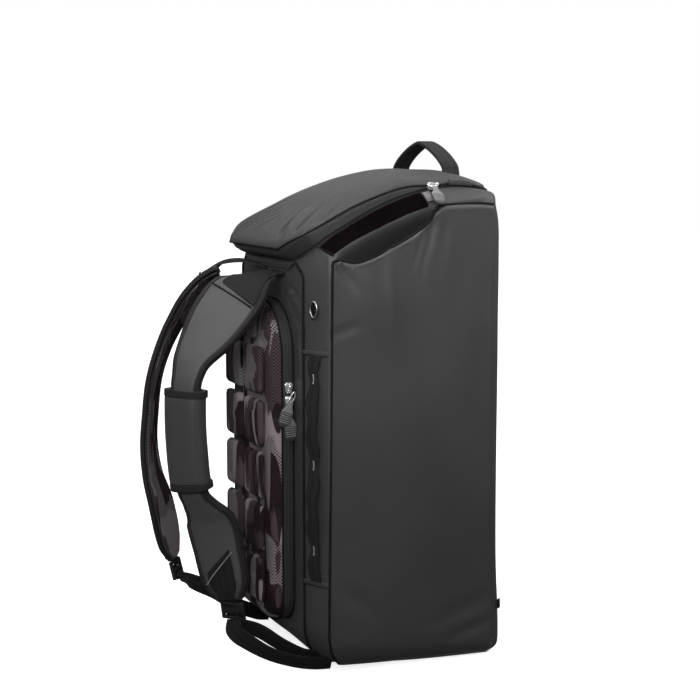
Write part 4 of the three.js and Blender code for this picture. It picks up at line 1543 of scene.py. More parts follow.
    def zip_garage(self, side: Side) -> Piece:
        """Cover the end of the zip with a small folded hood."""
        steps = 10
        depths = spaced(*self.garage, steps)
        edge = [self.form.lid_point(self.form.side_x, y, -0.004) for y in depths]
        frames = path_frames([side.turned(self.raised(point)) for point in edge])
        stations = []
        for i, frame in enumerate(frames):
            half = self.garage_half * math.sin(math.pi * clamp(0.1 + 0.8 * i / steps)) ** 0.2
            stations.append(replace(frame, across=UP, out=side.turned(RIGHT), half=half))
        return add_piece(f"zip_garage_{side.word}", ribbon(stations, 0.007, 20, 3.4), COATED)


@dataclass
class ZipHardware:
    """A bright slider and its moulded pull."""

    name: str
    width: float = 0.0108
    length: float = 0.0146
    thickness: float = 0.005
    wedge: float = 0.0014
    bridge: float = 0.0011
    pull_thickness: float = 0.005
    ribs: int = 5
    rib_top: float = -0.0166
    rib_step: float = 0.0029
    rib_height: float = 0.0013
    link: float = 0.0085
    link_half: float = 0.0028
    link_wire: float = 0.0009
    pull_outline: tuple[Pair, ...] = (
        (0.0028, 0.0),
        (0.0036, -0.0060),
        (0.0086, -0.0155),
        (0.0080, -0.0295),
        (0.0034, -0.0350),
    )

    def build(
        self, fast: Vector, run: Vector, face: Vector, hook: Vector, fall: Vector, out: Vector
    ) -> list[Piece]:
        """Build the slider and its pull.

        Args:
            fast: Middle of the slider.
            run: Direction in which it runs down the zip.
            face: Direction out of the zip at the slider.
            hook: Where the pull hangs.
            fall: Direction in which it hangs.
            out: Direction out of the surface behind it.

        Returns:
            The slider, the pull, the core that its ribs sit on and the link that it hangs from.
        """
        slider, pull = self.name.format("slider"), self.name.format("pull")
        return [
            add_piece(f"{slider}_metal", set_in(self.slider(), fast, run, face), NICKEL, [slider]),
            add_piece(f"{pull}_rubber", set_in(self.pull(), hook, fall, out), RUBBER, [pull]),
            add_piece(f"{pull}_core", set_in(self.core(), hook, fall, out), RIB_SHADE_CORE),
            add_piece(f"{pull}_link", set_in(self.wire(), hook, fall, out), NICKEL),
        ]

    @staticmethod
    def mirrored(right: Sequence[Pair]) -> list[Pair]:
        """Whole outline from its right half."""
        return [*right, *((-x, y) for x, y in reversed(right))]

    def slider(self) -> BMesh:
        """Cast the slider: two wedge plates and the bridge that holds the pull."""
        wide, tall, deep = self.width, self.length, self.thickness
        outline = [(wide / 3, -tall / 2), (wide / 2, tall / 3), (wide / 4, tall / 2)]
        parts = []
        for height in (-deep / 2 + 0.0008, deep / 2 - 0.0014):
            wedge = plate(self.mirrored(outline), self.wedge, 0.0005)
            bmesh.ops.translate(wedge, verts=wedge.verts[:], vec=(0, 0, height))
            parts.append(wedge)
        post = [(wide / 6, tall / 8), (wide / 6, tall / 3)]
        parts.append(plate(self.mirrored(post), deep - 0.001, 0.0003))
        arch = []
        for angle in spaced(0, math.pi, 12):
            height = deep / 2 - 0.001 + 0.0026 * math.sin(angle)
            arch.append(Vector((0, 0.36 * tall * math.cos(angle), height)))
        return joined([*parts, tube(arch, self.bridge)])

    def pull(self) -> BMesh:
        """Mould the pull's smooth shoulder and the ribs below it."""
        parts = [plate(self.mirrored(self.pull_outline[:3]), self.pull_thickness, 0.0011, 3)]
        for i in range(self.ribs):
            top = self.rib_top - self.rib_step * i
            half = 0.0082 - 0.0003 * i
            bar = self.mirrored([(half, top), (half, top - self.rib_height)])
            parts.append(plate(bar, self.pull_thickness * 0.9, 0.0005))
        return joined(parts)

    def core(self) -> BMesh:
        """Mould the core of the pull, painted dark as the shade of its ribbed part."""
        return plate(self.mirrored(self.pull_outline), self.pull_thickness * 0.6, 0.0008)

    def wire(self) -> BMesh:
        """Bend the link of wire between the slider and the pull."""
        half = self.link / 2
        angles = spaced(0, math.tau, 18)[:-1]
        loop = [Vector((self.link_half * math.sin(a), half - 0.001 + half * math.cos(a), 0)) for a in angles]
        return tube(loop, self.link_wire, 6, closed=True)


@dataclass
class Pocket:
    """Padded pocket on the strap face, with its zip and two columns of moulded pads."""

    form: BagForm
    half: float = 0.080
    bottom: float = 0.058
    top: float = 0.492
    top_radius: float = 0.070
    bottom_radius: float = 0.036
    zip_depth: float = 0.016
    zip_grow: float = 0.0004
    piping: float = 0.0013
    coil: float = 0.0008
    pad_rows: tuple[str, ...] = ("1", "2", "3", "4", "5", "top")
    pad_corner: float = 0.008
    pad_rim: float = 0.003
    voxel: float = 0.004
    pressure: float = 4.0
    held_depth: float = 0.0015
    frames: int = 20
    most_swell: float = 0.006
    most_spread: float = 0.0026
    start_shrink: float = 0.0002
    groove: float = 0.0035
    groove_half: float = 0.0045
    flank: float = 0.0062
    pull_link: float = 0.014

    def build(self) -> list[Piece]:
        """Build the pocket, its zip, its pads and its sliders."""
        return [self.cushion(), *self.zip_band(), *self.pads(), *self.sliders()]

    def outline(self, y: float) -> list[Vector]:
        """Closed outline of the pocket at a depth, a little outside its edge."""

        def arc(x: float, z: float, radius: float, start: float) -> list[Vector]:
            angles = spaced(start, start + math.pi / 2, 12)
            return [Vector((x + radius * math.cos(a), y, z + radius * math.sin(a))) for a in angles]

        half, top, bottom = self.half + self.zip_grow, self.top + self.zip_grow, self.bottom - self.zip_grow
        low, high = self.bottom_radius + self.zip_grow, self.top_radius + self.zip_grow
        right = arc(half - low, bottom + low, low, -math.pi / 2) + arc(half - high, top - high, high, 0)
        return right + [Side.LEFT.turned(point) for point in reversed(right)]

    def cushion(self) -> Piece:
        """Pad the pocket, with a groove between the rows of pads and a rise beside them."""
        bm = soft_copy("back_pocket", angle=60, crease=0.7, levels=2)
        face_y = self.form.face_y
        boxes = [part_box(f"back_pad_right_{row}") for row in self.pad_rows]
        gaps = [(below[1].z + above[0].z) / 2 for below, above in zip(boxes, boxes[1:])]
        for vert in bm.verts:
            out = Vector((vert.co.x, vert.co.y - face_y, 0)).normalized()
            groove = sum(math.exp(-(((vert.co.z - gap) / self.groove_half) ** 2)) for gap in gaps)
            swell = 0.0014 * noise.noise(vert.co * 28)
            ahead = ease(-vert.co.y, -face_y + 0.018, 0.16)
            vert.co += out * (swell - self.groove * groove * ahead)
            vert.co.y -= self.beside_pads(vert.co, *boxes[0]) * (1 - 0.6 * min(groove, 1.0))
        piece = add_piece("pocket_cushion", bm, CAMO, ["back_pocket"], levels=1)
        return piece

    def beside_pads(self, point: Vector, low: Vector, high: Vector) -> float:
        """How far the pocket's flank rises to meet the pads' outer edges.

        Args:
            point: Point of the flank.
            low: Lowest corner of the lowest right pad.
            high: Its highest corner.

        Returns:
            The rise.
        """
        ridge = high.x + 0.005
        across = ease(abs(point.x), ridge - 0.004, ridge) * (1 - ease(abs(point.x), ridge, self.half))
        foot = ease(point.z, low.z - 0.012, low.z + 0.012)
        head = 1 - ease(point.z, self.top - 0.09, self.top - 0.04)
        return self.flank * across * foot * head * ease(-point.y, -low.y - 0.012, -low.y + 0.003)

    def zip_band(self) -> list[Piece]:
        """Build the zip round the pocket: its tape, its coil and the piping on both edges."""
        bm = soft_copy("pocket_zip", angle=60, crease=1.0, levels=2)
        near = self.form.face_y - 0.001
        far = near - self.zip_depth
        edges = [evened(self.outline(y), 0.006, True) for y in (near, far)]
        piping = joined(tube(edge, self.piping, closed=True) for edge in edges)
        middle = evened(self.outline((near + far) / 2), 0.005, True)
        return [
            add_piece("pocket_zip_tape", bm, ZIP_TAPE, ["pocket_zip"]),
            add_piece("pocket_piping", piping, PIPING),
            add_piece("pocket_zip_coil", tube(middle, self.coil, 6, closed=True), ZIP_TAPE),
        ]

    def pads(self) -> list[Piece]:
        """Swell the pads, all at once, and part them."""
        names = [f"back_pad_{side.word}_{row}" for side in Side for row in self.pad_rows]
        blocks = [self.block(*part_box(name)) for name in names]
        ends = [0, *accumulate(len(block.verts) for block in blocks)]
        foam = joined(blocks)
        self.inflate(foam)
        made = []
        for name, start, end in zip(names, ends, ends[1:]):
            low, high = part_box(name)
            pad = foam.copy()
            others = [vert for i, vert in enumerate(pad.verts) if not start <= i < end]
            bmesh.ops.delete(pad, geom=others, context="VERTS")
            for vert in pad.verts:
                for k in (0, 2):
                    vert.co[k] = clamp(vert.co[k], low[k] - self.most_spread, high[k] + self.most_spread)
            piece = add_piece(f"{name}_mesh", pad, CAMO, [name], levels=1)
            made.append(piece)
        foam.free()
        return made

    def block(self, low: Vector, high: Vector) -> BMesh:
        """Cut the foam block of one pad to its box and even out its faces."""
        size = high - low - Vector((1, 1, 1)) * 2 * self.start_shrink
        place = Matrix.Translation((low + high) / 2) @ Matrix.Diagonal((*size, 1))
        bm = bmesh.new()
        bmesh.ops.create_cube(bm, size=1.0, matrix=place)
        upright = [e for e in bm.edges if abs((e.verts[0].co - e.verts[1].co).y) > MERGE]
        bevel(bm, upright, self.pad_corner, 4)
        front = [f for f in bm.faces if f.calc_center_median().y < low.y + 0.002]
        bevel(bm, [e for f in front for e in f.edges], self.pad_rim, 2)
        bm = modified(bm, "REMESH", mode="VOXEL", voxel_size=self.voxel)
        axes = {f"use_axis_{axis}": True for axis in "xyz"}
        bmesh.ops.smooth_vert(bm, verts=bm.verts[:], factor=0.5, **axes)
        return bm

    def inflate(self, rest: BMesh) -> None:
        """Blow the blocks up as cloth under pressure, held at their backs, and move them as far.

        Args:
            rest: The resting blocks, which are moved up to a limit.
        """
        foam = linked("foam", mesh_of("foam", rest.copy()))
        backs = max(vert.co.y for vert in rest.verts) - self.held_depth
        held = foam.vertex_groups.new(name="held")
        held.add([v.index for v in foam.data.vertices if v.co.y > backs], 1.0, "REPLACE")
        cloth = foam.modifiers.new("swell", "CLOTH")
        cloth.settings.vertex_group_mass = "held"
        cloth.settings.use_pressure = True
        cloth.settings.uniform_pressure_force = self.pressure
        cloth.settings.effector_weights.gravity = 0.0
        cloth.collision_settings.use_collision = False
        scene = bpy.context.scene
        for frame in range(1, self.frames + 1):
            scene.frame_set(frame)
        moved = foam.evaluated_get(bpy.context.evaluated_depsgraph_get()).data
        for vert, after in zip(rest.verts, moved.vertices):
            shift = after.co - vert.co
            vert.co += shift * min(1.0, self.most_swell / max(shift.length, MERGE))
        scene.frame_set(1)
        bpy.data.meshes.remove(foam.data)

    def sliders(self) -> list[Piece]:
        """Put two sliders on the right run of the zip, with their pulls hanging beside the pocket."""
        made = []
        x, y = self.half + 0.003, self.form.face_y - 0.0005 - self.zip_depth / 2
        for name, z, lean, out in (("upper", 0.380, -22, 0.008), ("lower", 0.362, 2, 0.003)):
            lean = math.radians(lean)
            fast, hook = Vector((x, y, z)), Vector((x + out, y, z - 0.0170))
            fall = Vector((0, math.sin(lean), -math.cos(lean)))
            hardware = ZipHardware(f"pocket_{{}}_{name}", link=self.pull_link)
            made += hardware.build(fast, -UP, RIGHT, hook, fall, RIGHT)
        return made


@dataclass
class Straps:
    """Padded shoulder strap of one side with its anchor, buckle and webbing."""

    side: Side
    pad_rows: tuple[Row, ...]
    webbing_rows: tuple[Row, ...]
    top_lift: float
    pad_start: float = 0.0
    thickness: float = 0.012
    crown: float = 0.0022
    binding: float = 0.0065
    edge_half: float = 0.0052
    webbing_half: float = 0.0125
    webbing_thickness: float = 0.002
    twist: float = math.radians(-58)
    lock_width: float = 0.034
    lock_height: float = 0.026
    lock_thickness: float = 0.005
    lock_bar: float = 0.0045
    lock_tilt: float = math.radians(14)
    patch_half: float = 0.035
    patch_slant: float = 0.22
    web_half: float = 0.0122
    web_slant: float = 0.8
    web_wave: float = 0.0038

    def build(self) -> list[Piece]:
        """Build the strap from its anchor down to its webbing."""
        return [
            self.pad(),
            self.lining(),
            self.bindings(),
            self.anchor(),
            *self.seams(),
            self.web_patch(),
            self.lock(),
            self.webbing(f"lower_webbing_{self.side.word}", self.webbing_rows),
        ]

    @cached_property
    def route(self) -> Route:
        """Route of the pad."""
        return Route(self.pad_rows, self.side)

    @property
    def end(self) -> float:
        """Last place of the route, counted in rows."""
        return len(self.pad_rows) - 1.0

    @property
    def middle(self) -> Station:
        """Station half way down the pad."""
        return self.route.station(self.end / 2)

    def bound_width(self, station: Station) -> float:
        """Width of the binding at a station."""
        return min(self.binding, 0.6 * station.half)

    def pad(self) -> Piece:
        """Crown the foam pad."""

        def section(u: float, station: Station) -> Pair:
            half = station.half - 0.001
            a, b = rounded(math.tau * u, half, self.thickness / 2 - 0.0006, 2.8)
            crown = self.crown * (1 - (a / half) ** 2)
            return a, b + math.copysign(crown, b) if abs(b) > 0.001 else b

        bm = close_ends(sweep(self.route.stations(self.pad_start, self.end, 92), 36, section))
        name = f"shoulder_strap_{self.side.word}"
        piece = add_piece(f"{name}_pad", roughen(bm, 0.0007, 35), STRAP_PAD, [name], levels=1, sharp=80)
        return piece

    def lining(self) -> Piece:
        """Line the inner face of the pad with air mesh."""
        lift = -self.thickness / 2 - 0.0012
        stations = self.route.stations(self.pad_start + 0.1, self.end - 0.15, 84, lift)
        inner = [replace(station, half=max(station.half - 0.006, 0.003)) for station in stations]
        return add_piece(f"strap_lining_{self.side.word}", ribbon(inner, 0.0026, 24, 3.0), CAMO)

    def bindings(self) -> Piece:
        """Bind both edges of the pad."""
        stations = self.route.stations(self.pad_start, self.end, 92)
        tapes = []
        for edge in (1, -1):

            def section(u: float, station: Station, edge: int = edge) -> Pair:
                width = self.bound_width(station)
                a, b = rounded(math.pi * (u - 0.5), width + 0.0006, self.edge_half, 5.0)
                return edge * (station.half - width + a), b

            tape = turn_to(sweep(stations, 16, section), self.middle.across * edge)
            tapes.append(thicken(tape, 0.0009))
        return add_piece(f"strap_binding_{self.side.word}", joined(tapes), BINDING)

    def anchor(self) -> Piece:
        """Lay the sewn patch from the strap face over the top of the pad."""
        half, lift = self.patch_half, self.thickness / 2 + 0.0032
        rows = [
            (0.030, -0.124, 0.528 + 0.3 * self.top_lift, 0.022, 0, 0.0, 0.0),
            (0.033, -0.143, 0.531 + 0.5 * self.top_lift, 0.024, 8, 0.003, 0.001),
        ]
        for at, wide, shift in ((0.05, half - 0.007, 0.002), (0.8, half - 0.002, 0.005), (1.54, half, 0.006)):
            x, y, z, _, turn = (self.route.column(k, at) for k in range(5))
            rows.append((x, y, z, wide, turn, lift - 0.0008 * at, shift))
        route = Route(tuple(rows), self.side)
        last = len(rows) - 1
        stations = []
        for at in spaced(0, last, 28):
            flat = route.station(at, route.column(5, at))
            slanted = flat.across + flat.along * self.patch_slant * ease(at, 2.2, last)
            stations.append(replace(flat, middle=flat.point(route.column(6, at), 0.0), across=slanted))
        name = f"strap_anchor_{self.side.word}"
        return add_piece(f"{name}_patch", ribbon(stations, 0.003, droop=0.0026), PATCH, [name])

    def seams(self) -> list[Piece]:
        """Sew the cross seam below the anchor, the slanted seam of the webbing and the binding's edges."""
        out = self.middle.out
        cross = [self.on_face(1.63 + 0.22 * part, part, 0.0004) for part in (-0.82, -0.4, 0, 0.4, 0.82)]
        slant = [self.on_face(self.end - 1.5 - 0.7 * part, part, 0.0022) for part in (-0.72, -0.3, 0.2, 0.68)]
        rows = []
        for edge in (1, -1):
            path = []
            for station in self.route.stations(self.pad_start + 0.1, self.end - 0.4, 80):
                inset = self.bound_width(station) - 0.0015
                path.append(station.point(edge * (station.half - inset), self.edge_half + 0.0002))
            rows.append(stitched(path, out))
        word = self.side.word
        return [
            add_piece(f"strap_cross_seam_{word}", tube(evened(cross, 0.004), 0.0011), PIPING),
            add_piece(f"strap_slant_seam_{word}", stitched(slant, out, 0.003, 0.0008, 0.001), PALE_THREAD),
            add_piece(f"strap_stitches_{word}", joined(rows), THREAD),
        ]

    def on_face(self, at: float, part: float, lift: float) -> Vector:
        """Point on the pad's crowned outer face."""
        station = self.route.station(at)
        crown = 0.0016 * (1 - part * part)
        return station.point(part * station.half, self.thickness / 2 + crown + lift)

    def web_patch(self) -> Piece:
        """Sew the buckle's webbing on the lower end of the pad and thread it over the buckle's middle bar."""
        stations = []
        for part in spaced(0, 1, 19):
            half = lerp(0.020, self.web_half, ease(part, 0.4, 1))
            at = lerp(self.end - 1.7, self.end - 0.1, part)
            flat = self.route.station(at, self.thickness / 2 + 0.0022, half)
            slanted = flat.across - flat.along * self.web_slant * (1 - ease(part, 0.0, 0.6))
            stations.append(replace(flat, across=slanted))
        basis = self.lock_basis()
        across, back, up = (basis.to_3x3().col[k].normalized() for k in range(3))
        across *= math.copysign(1, across.dot(stations[-1].across))
        reach = self.lock_height / 2
        for down in spaced(-reach + 0.001, reach + 0.001, 24):
            wave = self.web_wave * math.cos(math.pi * down / (reach - self.lock_bar / 2))
            middle = basis.translation - up * down - back * wave
            stations.append(Station(middle, -up, across, -back, self.web_half))
        return add_piece(f"strap_webbing_{self.side.word}", ribbon(stations, 0.0016), WEBBING)

    def lock_basis(self) -> Matrix:
        """Place of the buckle: its width along X, its height along Z and its face to -Y."""
        x, y, z, _, turn = self.pad_rows[-1]
        tilt = self.lock_tilt
        reach = self.lock_height / 2 + 0.004
        place = self.side.turned(Vector((x, y + reach * math.sin(tilt), z - reach * math.cos(tilt))))
        swung = Matrix.Rotation(math.radians(self.side.value * turn), 4, "Z")
        return Matrix.Translation(place) @ swung @ Matrix.Rotation(tilt, 4, "X")

    def lock(self) -> Piece:
        """Mould the ladder-lock buckle: a frame with two slots, its bars rounded."""
        width, height, bar = self.lock_width / 2, self.lock_height / 2, self.lock_bar
        xs = (-width, -width + bar, width - bar, width)
        zs = (-height, -height + bar, -bar / 2, bar / 2, height - bar, height)
        bm = new_mesh()
        bmesh.ops.create_grid(bm, x_segments=3, y_segments=5, size=0.5, calc_uvs=True)
        for vert in bm.verts:
            column, row = round((vert.co.x + 0.5) * 3), round((vert.co.y + 0.5) * 5)
            vert.co = Vector((xs[column], -self.lock_thickness / 2, zs[row]))
        middles = [(face, face.calc_center_median()) for face in bm.faces]
        slots = [face for face, at in middles if abs(at.x) < bar and bar / 2 < abs(at.z) < height - bar]
        bmesh.ops.delete(bm, geom=slots, context="FACES")
        thicken(turn_to(bm, FRONT), self.lock_thickness)
        sharp = [e for e in bm.edges if e.is_manifold and e.calc_face_angle() > 0.8]
        bevel(bm, sharp, 0.0011, 3)
        bmesh.ops.transform(bm, matrix=self.lock_basis(), verts=bm.verts[:])
        name = f"ladder_lock_{self.side.word}"
        return add_piece(f"{name}_buckle", bm, PLASTIC, [name], sharp=35)

    def webbing(self, name: str, rows: tuple[Row, ...]) -> Piece:
        """Run webbing along its rows of x, y, z and turn, and twist it on its edge below the buckle."""
        route = Route(tuple((x, y, z, self.webbing_half, turn) for x, y, z, turn in rows), self.side)
        stations = []
        for at in spaced(0, len(rows) - 1, 60):
            flat = route.station(at)
            roll = Matrix.Rotation(self.side.value * self.twist * ease(at, 0.0, 1.6), 3, flat.along)
            stations.append(replace(flat, across=roll @ flat.across, out=roll @ flat.out))
        return add_piece(f"{name}_band", ribbon(stations, self.webbing_thickness), WEBBING, [name])


@dataclass
class GripCuff:
    """Smooth padded cuff wrapped round the right strap."""

    strap: Straps
    start: float = 6.03
    end: float = 7.94
    half: float = 0.029
    deep: float = 0.018
    wall: float = 0.004
    band: float = 0.14
    flap_turn: Pair = (42, 178)

    def build(self) -> list[Piece]:
        """Build the cuff, its bound ends and its closing flap."""
        return [self.cuff(), self.ends(), self.flap()]

    def wrapped(
        self, start: float, end: float, count: int, columns: int, grow: float, turn: Pair = (0, 360)
    ) -> BMesh:
        """Wrap cloth round the strap.

        Args:
            start: Place along the strap where it starts, counted in rows.
            end: Place where it ends.
            count: Sections between the two.
            columns: Faces round it.
            grow: How far it lies outside the cuff's oval.
            turn: Angles, in degrees, from which to which it is wrapped.

        Returns:
            The open skin.
        """

        def section(u: float, _: Station) -> Pair:
            return rounded(math.radians(lerp(*turn, u)), self.half + grow, self.deep + grow, 2.7)

        return sweep(self.strap.route.stations(start, end, count), columns, section)

    def cuff(self) -> Piece:
        """Wrap the cuff, its cloth a little uneven."""
        bm = roughen(self.wrapped(self.start, self.end, 24, 40, -0.0012), 0.0009, 26)
        piece = add_piece("grip_cuff", thicken(bm, self.wall), GRIP, ["grip_wrap"], levels=1)
        return piece

    def ends(self) -> Piece:
        """Bind both ends of the cuff."""
        spans = ((self.start, self.start + self.band), (self.end - self.band, self.end))
        bands = [thicken(self.wrapped(*span, 7, 40, 0.0006), 0.003) for span in spans]
        return add_piece("grip_bindings", joined(bands), BINDING, levels=1)

    def flap(self) -> Piece:
        """Lay the closing flap over the cuff's outer face, with its free edge to the rear."""
        bm = self.wrapped(self.start + self.band, self.end - self.band, 20, 22, 0.0001, self.flap_turn)
        turn_to(bm, self.strap.middle.out)
        return add_piece("grip_flap", thicken(bm, 0.0014), GRIP, levels=1)


@dataclass
class Trim:
    """Tapes, tags, webbing ladders and rings on the gussets and edges."""

    form: BagForm
    daisy_top: float = 0.428
    daisy_bottom: float = 0.130
    daisy_half: float = 0.010
    daisy_thickness: float = 0.0016
    daisy_stand_off: float = 0.006
    daisy_foot: float = 0.006
    daisy_wave: float = 0.056
    daisy_sway: float = 0.0014
    tacks: Row = (0.172, 0.285, 0.398)
    tack_threads: int = 13
    tack_step: float = 0.0010
    tack_half: float = 0.0009
    ring_z: float = 0.487
    ring_radius: float = 0.0055
    ring_wire: float = 0.0016
    ring_stretch: float = 1.85
    ring_tab: Pair = (0.0050, 0.0092)
    tape_reach: float = 0.008
    seam_front: Pair = (-0.105, -0.115)

    def build(self) -> list[Piece]:
        """Build the trim of both sides."""
        pieces = [self.tag(), self.edge_tab()]
        for side in Side:
            pieces += [self.loop_strip(side), self.front_seam(side), self.daisy_chain(side)]
            pieces += [self.bar_tacks(side), *self.ring(side)]
        return pieces

    def on_gusset(self, side: Side, z: float, out: float, along: float = 0.0) -> Vector:
        """Point on the ridge of a corner gusset, moved out of it and along its width."""
        away = self.form.gusset_out
        ridge = Vector((*self.form.gusset, z)) + away * out + Vector((-away.y, away.x, 0)) * along
        return side.turned(ridge)

    def loop_strip(self, side: Side) -> Piece:
        """Lay the napped tape on the top gusset."""
        name = f"loop_strip_{side.word}"
        bm = soft_copy(name, angle=50, crease=0.8, levels=3)
        form = self.form
        for vert in bm.verts:
            y = vert.co.y
            part = clamp((vert.co.z - form.seam.at(y)) / (form.zip_line.at(y) - form.seam.at(y)))
            reach = self.tape_reach * part * ease(-y, 0.05, 0.1)
            pulled = form.gusset_point(y - reach, part) - form.gusset_point(y, part)
            vert.co += side.turned(pulled) + vert.normal * 0.0004 * noise.noise(vert.co * 300)
        return add_piece(f"{name}_nap", bm, LOOP_TAPE, [name])

    def front_seam(self, side: Side) -> Piece:
        """Seam across the top of the corner gusset, in front of the tape."""
        form = self.form
        middle = sum(self.seam_front) / 2
        slope = form.gusset_point(middle, 1) - form.gusset_point(middle, 0)
        outward = Vector((slope.z, 0, -slope.x)).normalized()
        path = []
        for part in spaced(0, 1, 10):
            path.append(form.gusset_point(lerp(*self.seam_front, part), part) + outward * 0.0016)
        bm = tube([side.turned(point) for point in path], 0.0010)
        return add_piece(f"gusset_top_seam_{side.word}", bm, PIPING)

    def tag(self) -> Piece:
        """Sew the plain tag at the end of the right tape."""
        bm = soft_copy("sleeve_tag", angle=50, crease=0.8, levels=2)
        return add_piece("sleeve_tag_plain", bm, LABEL, ["sleeve_tag"])

    def edge_tab(self) -> Piece:
        """Fold the small tab at the back corner."""
        bm = copy_of("edge_tab")
        bevel(bm, bm.edges[:], 0.0005, 2)
        for vert in bm.verts:
            vert.co = self.form.slump(vert.co)
        return add_piece("edge_tab_web", bm, PIPING, ["edge_tab"])

    def stand_off(self, z: float) -> float:
        """How far the ladder webbing stands off the gusset at a height."""
        stops = (self.daisy_bottom + self.daisy_foot, *self.tacks, self.daisy_top - self.daisy_foot)
        widest = self.tacks[1] - self.tacks[0]
        for low, high in zip(stops, stops[1:]):
            if low <= z <= high:
                swell = self.daisy_stand_off * min(1.0, (high - low) / widest)
                return swell * math.sin(math.pi * (z - low) / (high - low))
        return 0.0

    def daisy_chain(self, side: Side) -> Piece:
        """Run the ladder webbing down the corner gusset, flat at each tack and loose between them."""
        away = side.turned(self.form.gusset_out)
        across = UP.cross(away)
        stations = []
        for z in spaced(self.daisy_top, self.daisy_bottom, 90):
            turn = math.tau * (z - self.daisy_bottom) / self.daisy_wave
            sway = across * self.daisy_sway * math.cos(1.3 * turn)
            middle = self.on_gusset(side, z, self.stand_off(z) + 0.0013) + sway
            half = self.daisy_half * (0.86 + 0.14 * math.sin(turn))
            stations.append(Station(middle, -UP, across, away, half))
        name = f"daisy_chain_{side.word}"
        return add_piece(f"{name}_web", ribbon(stations, self.daisy_thickness), WEBBING, [name])

    def bar_tacks(self, side: Side) -> Piece:
        """Sew a pale bar of close thread through the webbing at each tack."""
        threads = []
        for tack in self.tacks:
            for k in range(self.tack_threads):
                z = tack + (k - self.tack_threads // 2) * self.tack_step
                out = self.stand_off(z) + 0.0023
                ends = [self.on_gusset(side, z, out, along) for along in (-self.tack_half, self.tack_half)]
                threads.append(tube(ends, 0.0004, 6))
        return add_piece(f"bar_tacks_{side.word}", joined(threads), PALE_THREAD)

    def ring(self, side: Side) -> list[Piece]:
        """Bend the oval wire ring, with the dark tab behind it."""
        angles = spaced(0, math.tau, 40)[:-1]
        path = []
        for angle in angles:
            z = self.ring_z + self.ring_radius * self.ring_stretch * math.cos(angle)
            path.append(self.on_gusset(side, z, self.ring_wire + 0.0005, self.ring_radius * math.sin(angle)))
        wide, tall = self.ring_tab
        outline = [(wide * math.cos(angle), tall * math.sin(angle)) for angle in angles[::2]]
        back = self.on_gusset(side, self.ring_z, 0.0004)
        tab = set_in(plate(outline, 0.0012, 0.0003), back, -UP, side.turned(self.form.gusset_out))
        name = f"gusset_ring_{side.word}"
        return [
            add_piece(f"{name}_wire", tube(path, self.ring_wire, 12, closed=True), DULL_NICKEL, [name]),
            add_piece(f"ring_tab_{side.word}", tab, PIPING),
        ]


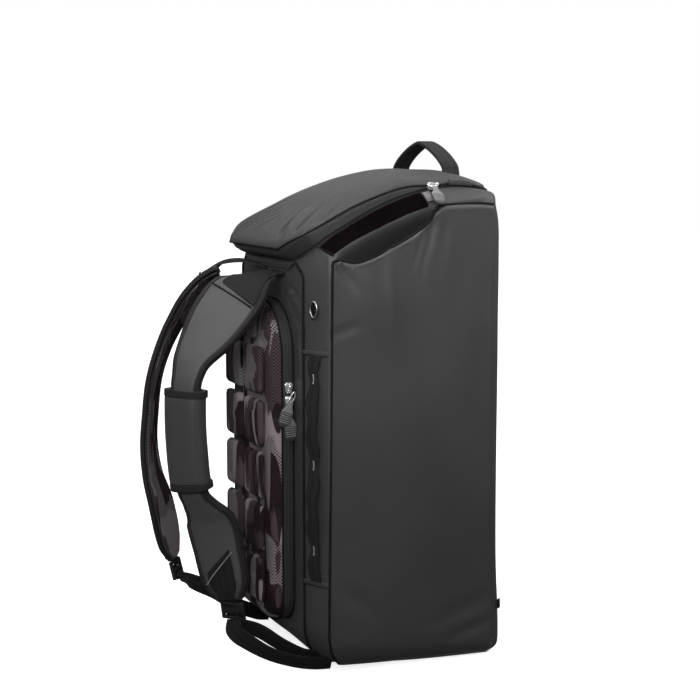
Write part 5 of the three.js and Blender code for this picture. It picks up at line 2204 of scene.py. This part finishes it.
RIGHT_PAD: tuple[Row, ...] = (
    (0.037, -0.162, 0.520, 0.033, 22),
    (0.046, -0.188, 0.514, 0.044, 38),
    (0.055, -0.215, 0.488, 0.045, 46),
    (0.064, -0.245, 0.452, 0.038, 46),
    (0.069, -0.267, 0.424, 0.027, 42),
    (0.072, -0.275, 0.404, 0.022, 38),
    (0.073, -0.278, 0.388, 0.021, 36),
    (0.073, -0.278, 0.320, 0.022, 36),
    (0.073, -0.271, 0.252, 0.022, 38),
    (0.071, -0.261, 0.234, 0.025, 42),
    (0.070, -0.246, 0.210, 0.036, 44),
    (0.070, -0.236, 0.170, 0.036, 43),
    (0.071, -0.227, 0.126, 0.033, 43),
    (0.071, -0.221, 0.102, 0.020, 43),
)
LEFT_PAD: tuple[Row, ...] = (
    (0.036, -0.162, 0.535, 0.034, 22),
    (0.046, -0.192, 0.529, 0.039, 34),
    (0.056, -0.222, 0.500, 0.038, 40),
    (0.066, -0.248, 0.457, 0.036, 37),
    (0.070, -0.265, 0.421, 0.034, 33),
    (0.071, -0.278, 0.380, 0.033, 31),
    (0.071, -0.284, 0.335, 0.032, 31),
    (0.071, -0.287, 0.290, 0.032, 32),
    (0.071, -0.282, 0.245, 0.033, 35),
    (0.070, -0.271, 0.205, 0.035, 40),
    (0.070, -0.260, 0.152, 0.031, 41),
    (0.070, -0.254, 0.126, 0.015, 38),
)
RIGHT_WEBBING: tuple[Row, ...] = (
    (0.071, -0.2150, 0.0745, 30),
    (0.079, -0.203, 0.066, 0),
    (0.087, -0.182, 0.055, -15),
    (0.095, -0.160, 0.039, -22),
    (0.102, -0.134, 0.024, -25),
    (0.105, -0.120, 0.020, -25),
    (0.108, -0.100, 0.017, -25),
    (0.112, -0.078, 0.017, -25),
)
LEFT_WEBBING: tuple[Row, ...] = (
    (0.070, -0.2480, 0.0985, 25),
    (0.078, -0.230, 0.088, 0),
    (0.088, -0.192, 0.066, -15),
    (0.098, -0.155, 0.038, -22),
    (0.105, -0.120, 0.020, -25),
    (0.108, -0.100, 0.016, -25),
)
TAIL: tuple[Row, ...] = (
    (0.0715, -0.2155, 0.0735, 30),
    (0.076, -0.2165, 0.058, 15),
    (0.086, -0.200, 0.043, 0),
    (0.097, -0.174, 0.027, -15),
    (0.107, -0.144, 0.0165, -22),
    (0.114, -0.120, 0.0122, -25),
    (0.119, -0.096, 0.0115, -25),
)


def main() -> None:
    """Build the bag's sub-assemblies in order and report each piece."""
    logging.basicConfig(level=logging.INFO, format="%(name)s: %(message)s")
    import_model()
    form = BagForm()
    Studio().build()
    right = Straps(Side.RIGHT, RIGHT_PAD, RIGHT_WEBBING, top_lift=-0.005)
    left = Straps(
        Side.LEFT,
        LEFT_PAD,
        LEFT_WEBBING,
        top_lift=0.008,
        pad_start=0.95,
        thickness=0.0095,
        binding=0.005,
        edge_half=0.0033,
        patch_half=0.028,
        patch_slant=0.0,
    )
    pieces = [
        *Shell(form).build(),
        *SidePanel(form, Side.RIGHT).build(),
        *SidePanel(form, Side.LEFT).build(),
        *Lid(form).build(),
        *Pocket(form).build(),
        *right.build(),
        *left.build(),
        right.webbing("webbing_tail", TAIL),
        *GripCuff(right).build(),
        *Trim(form).build(),
    ]
    for piece in pieces:
        LOG.info("%s: %d faces", piece.name, len(piece.data.polygons))


if __name__ == "__main__":
    main()
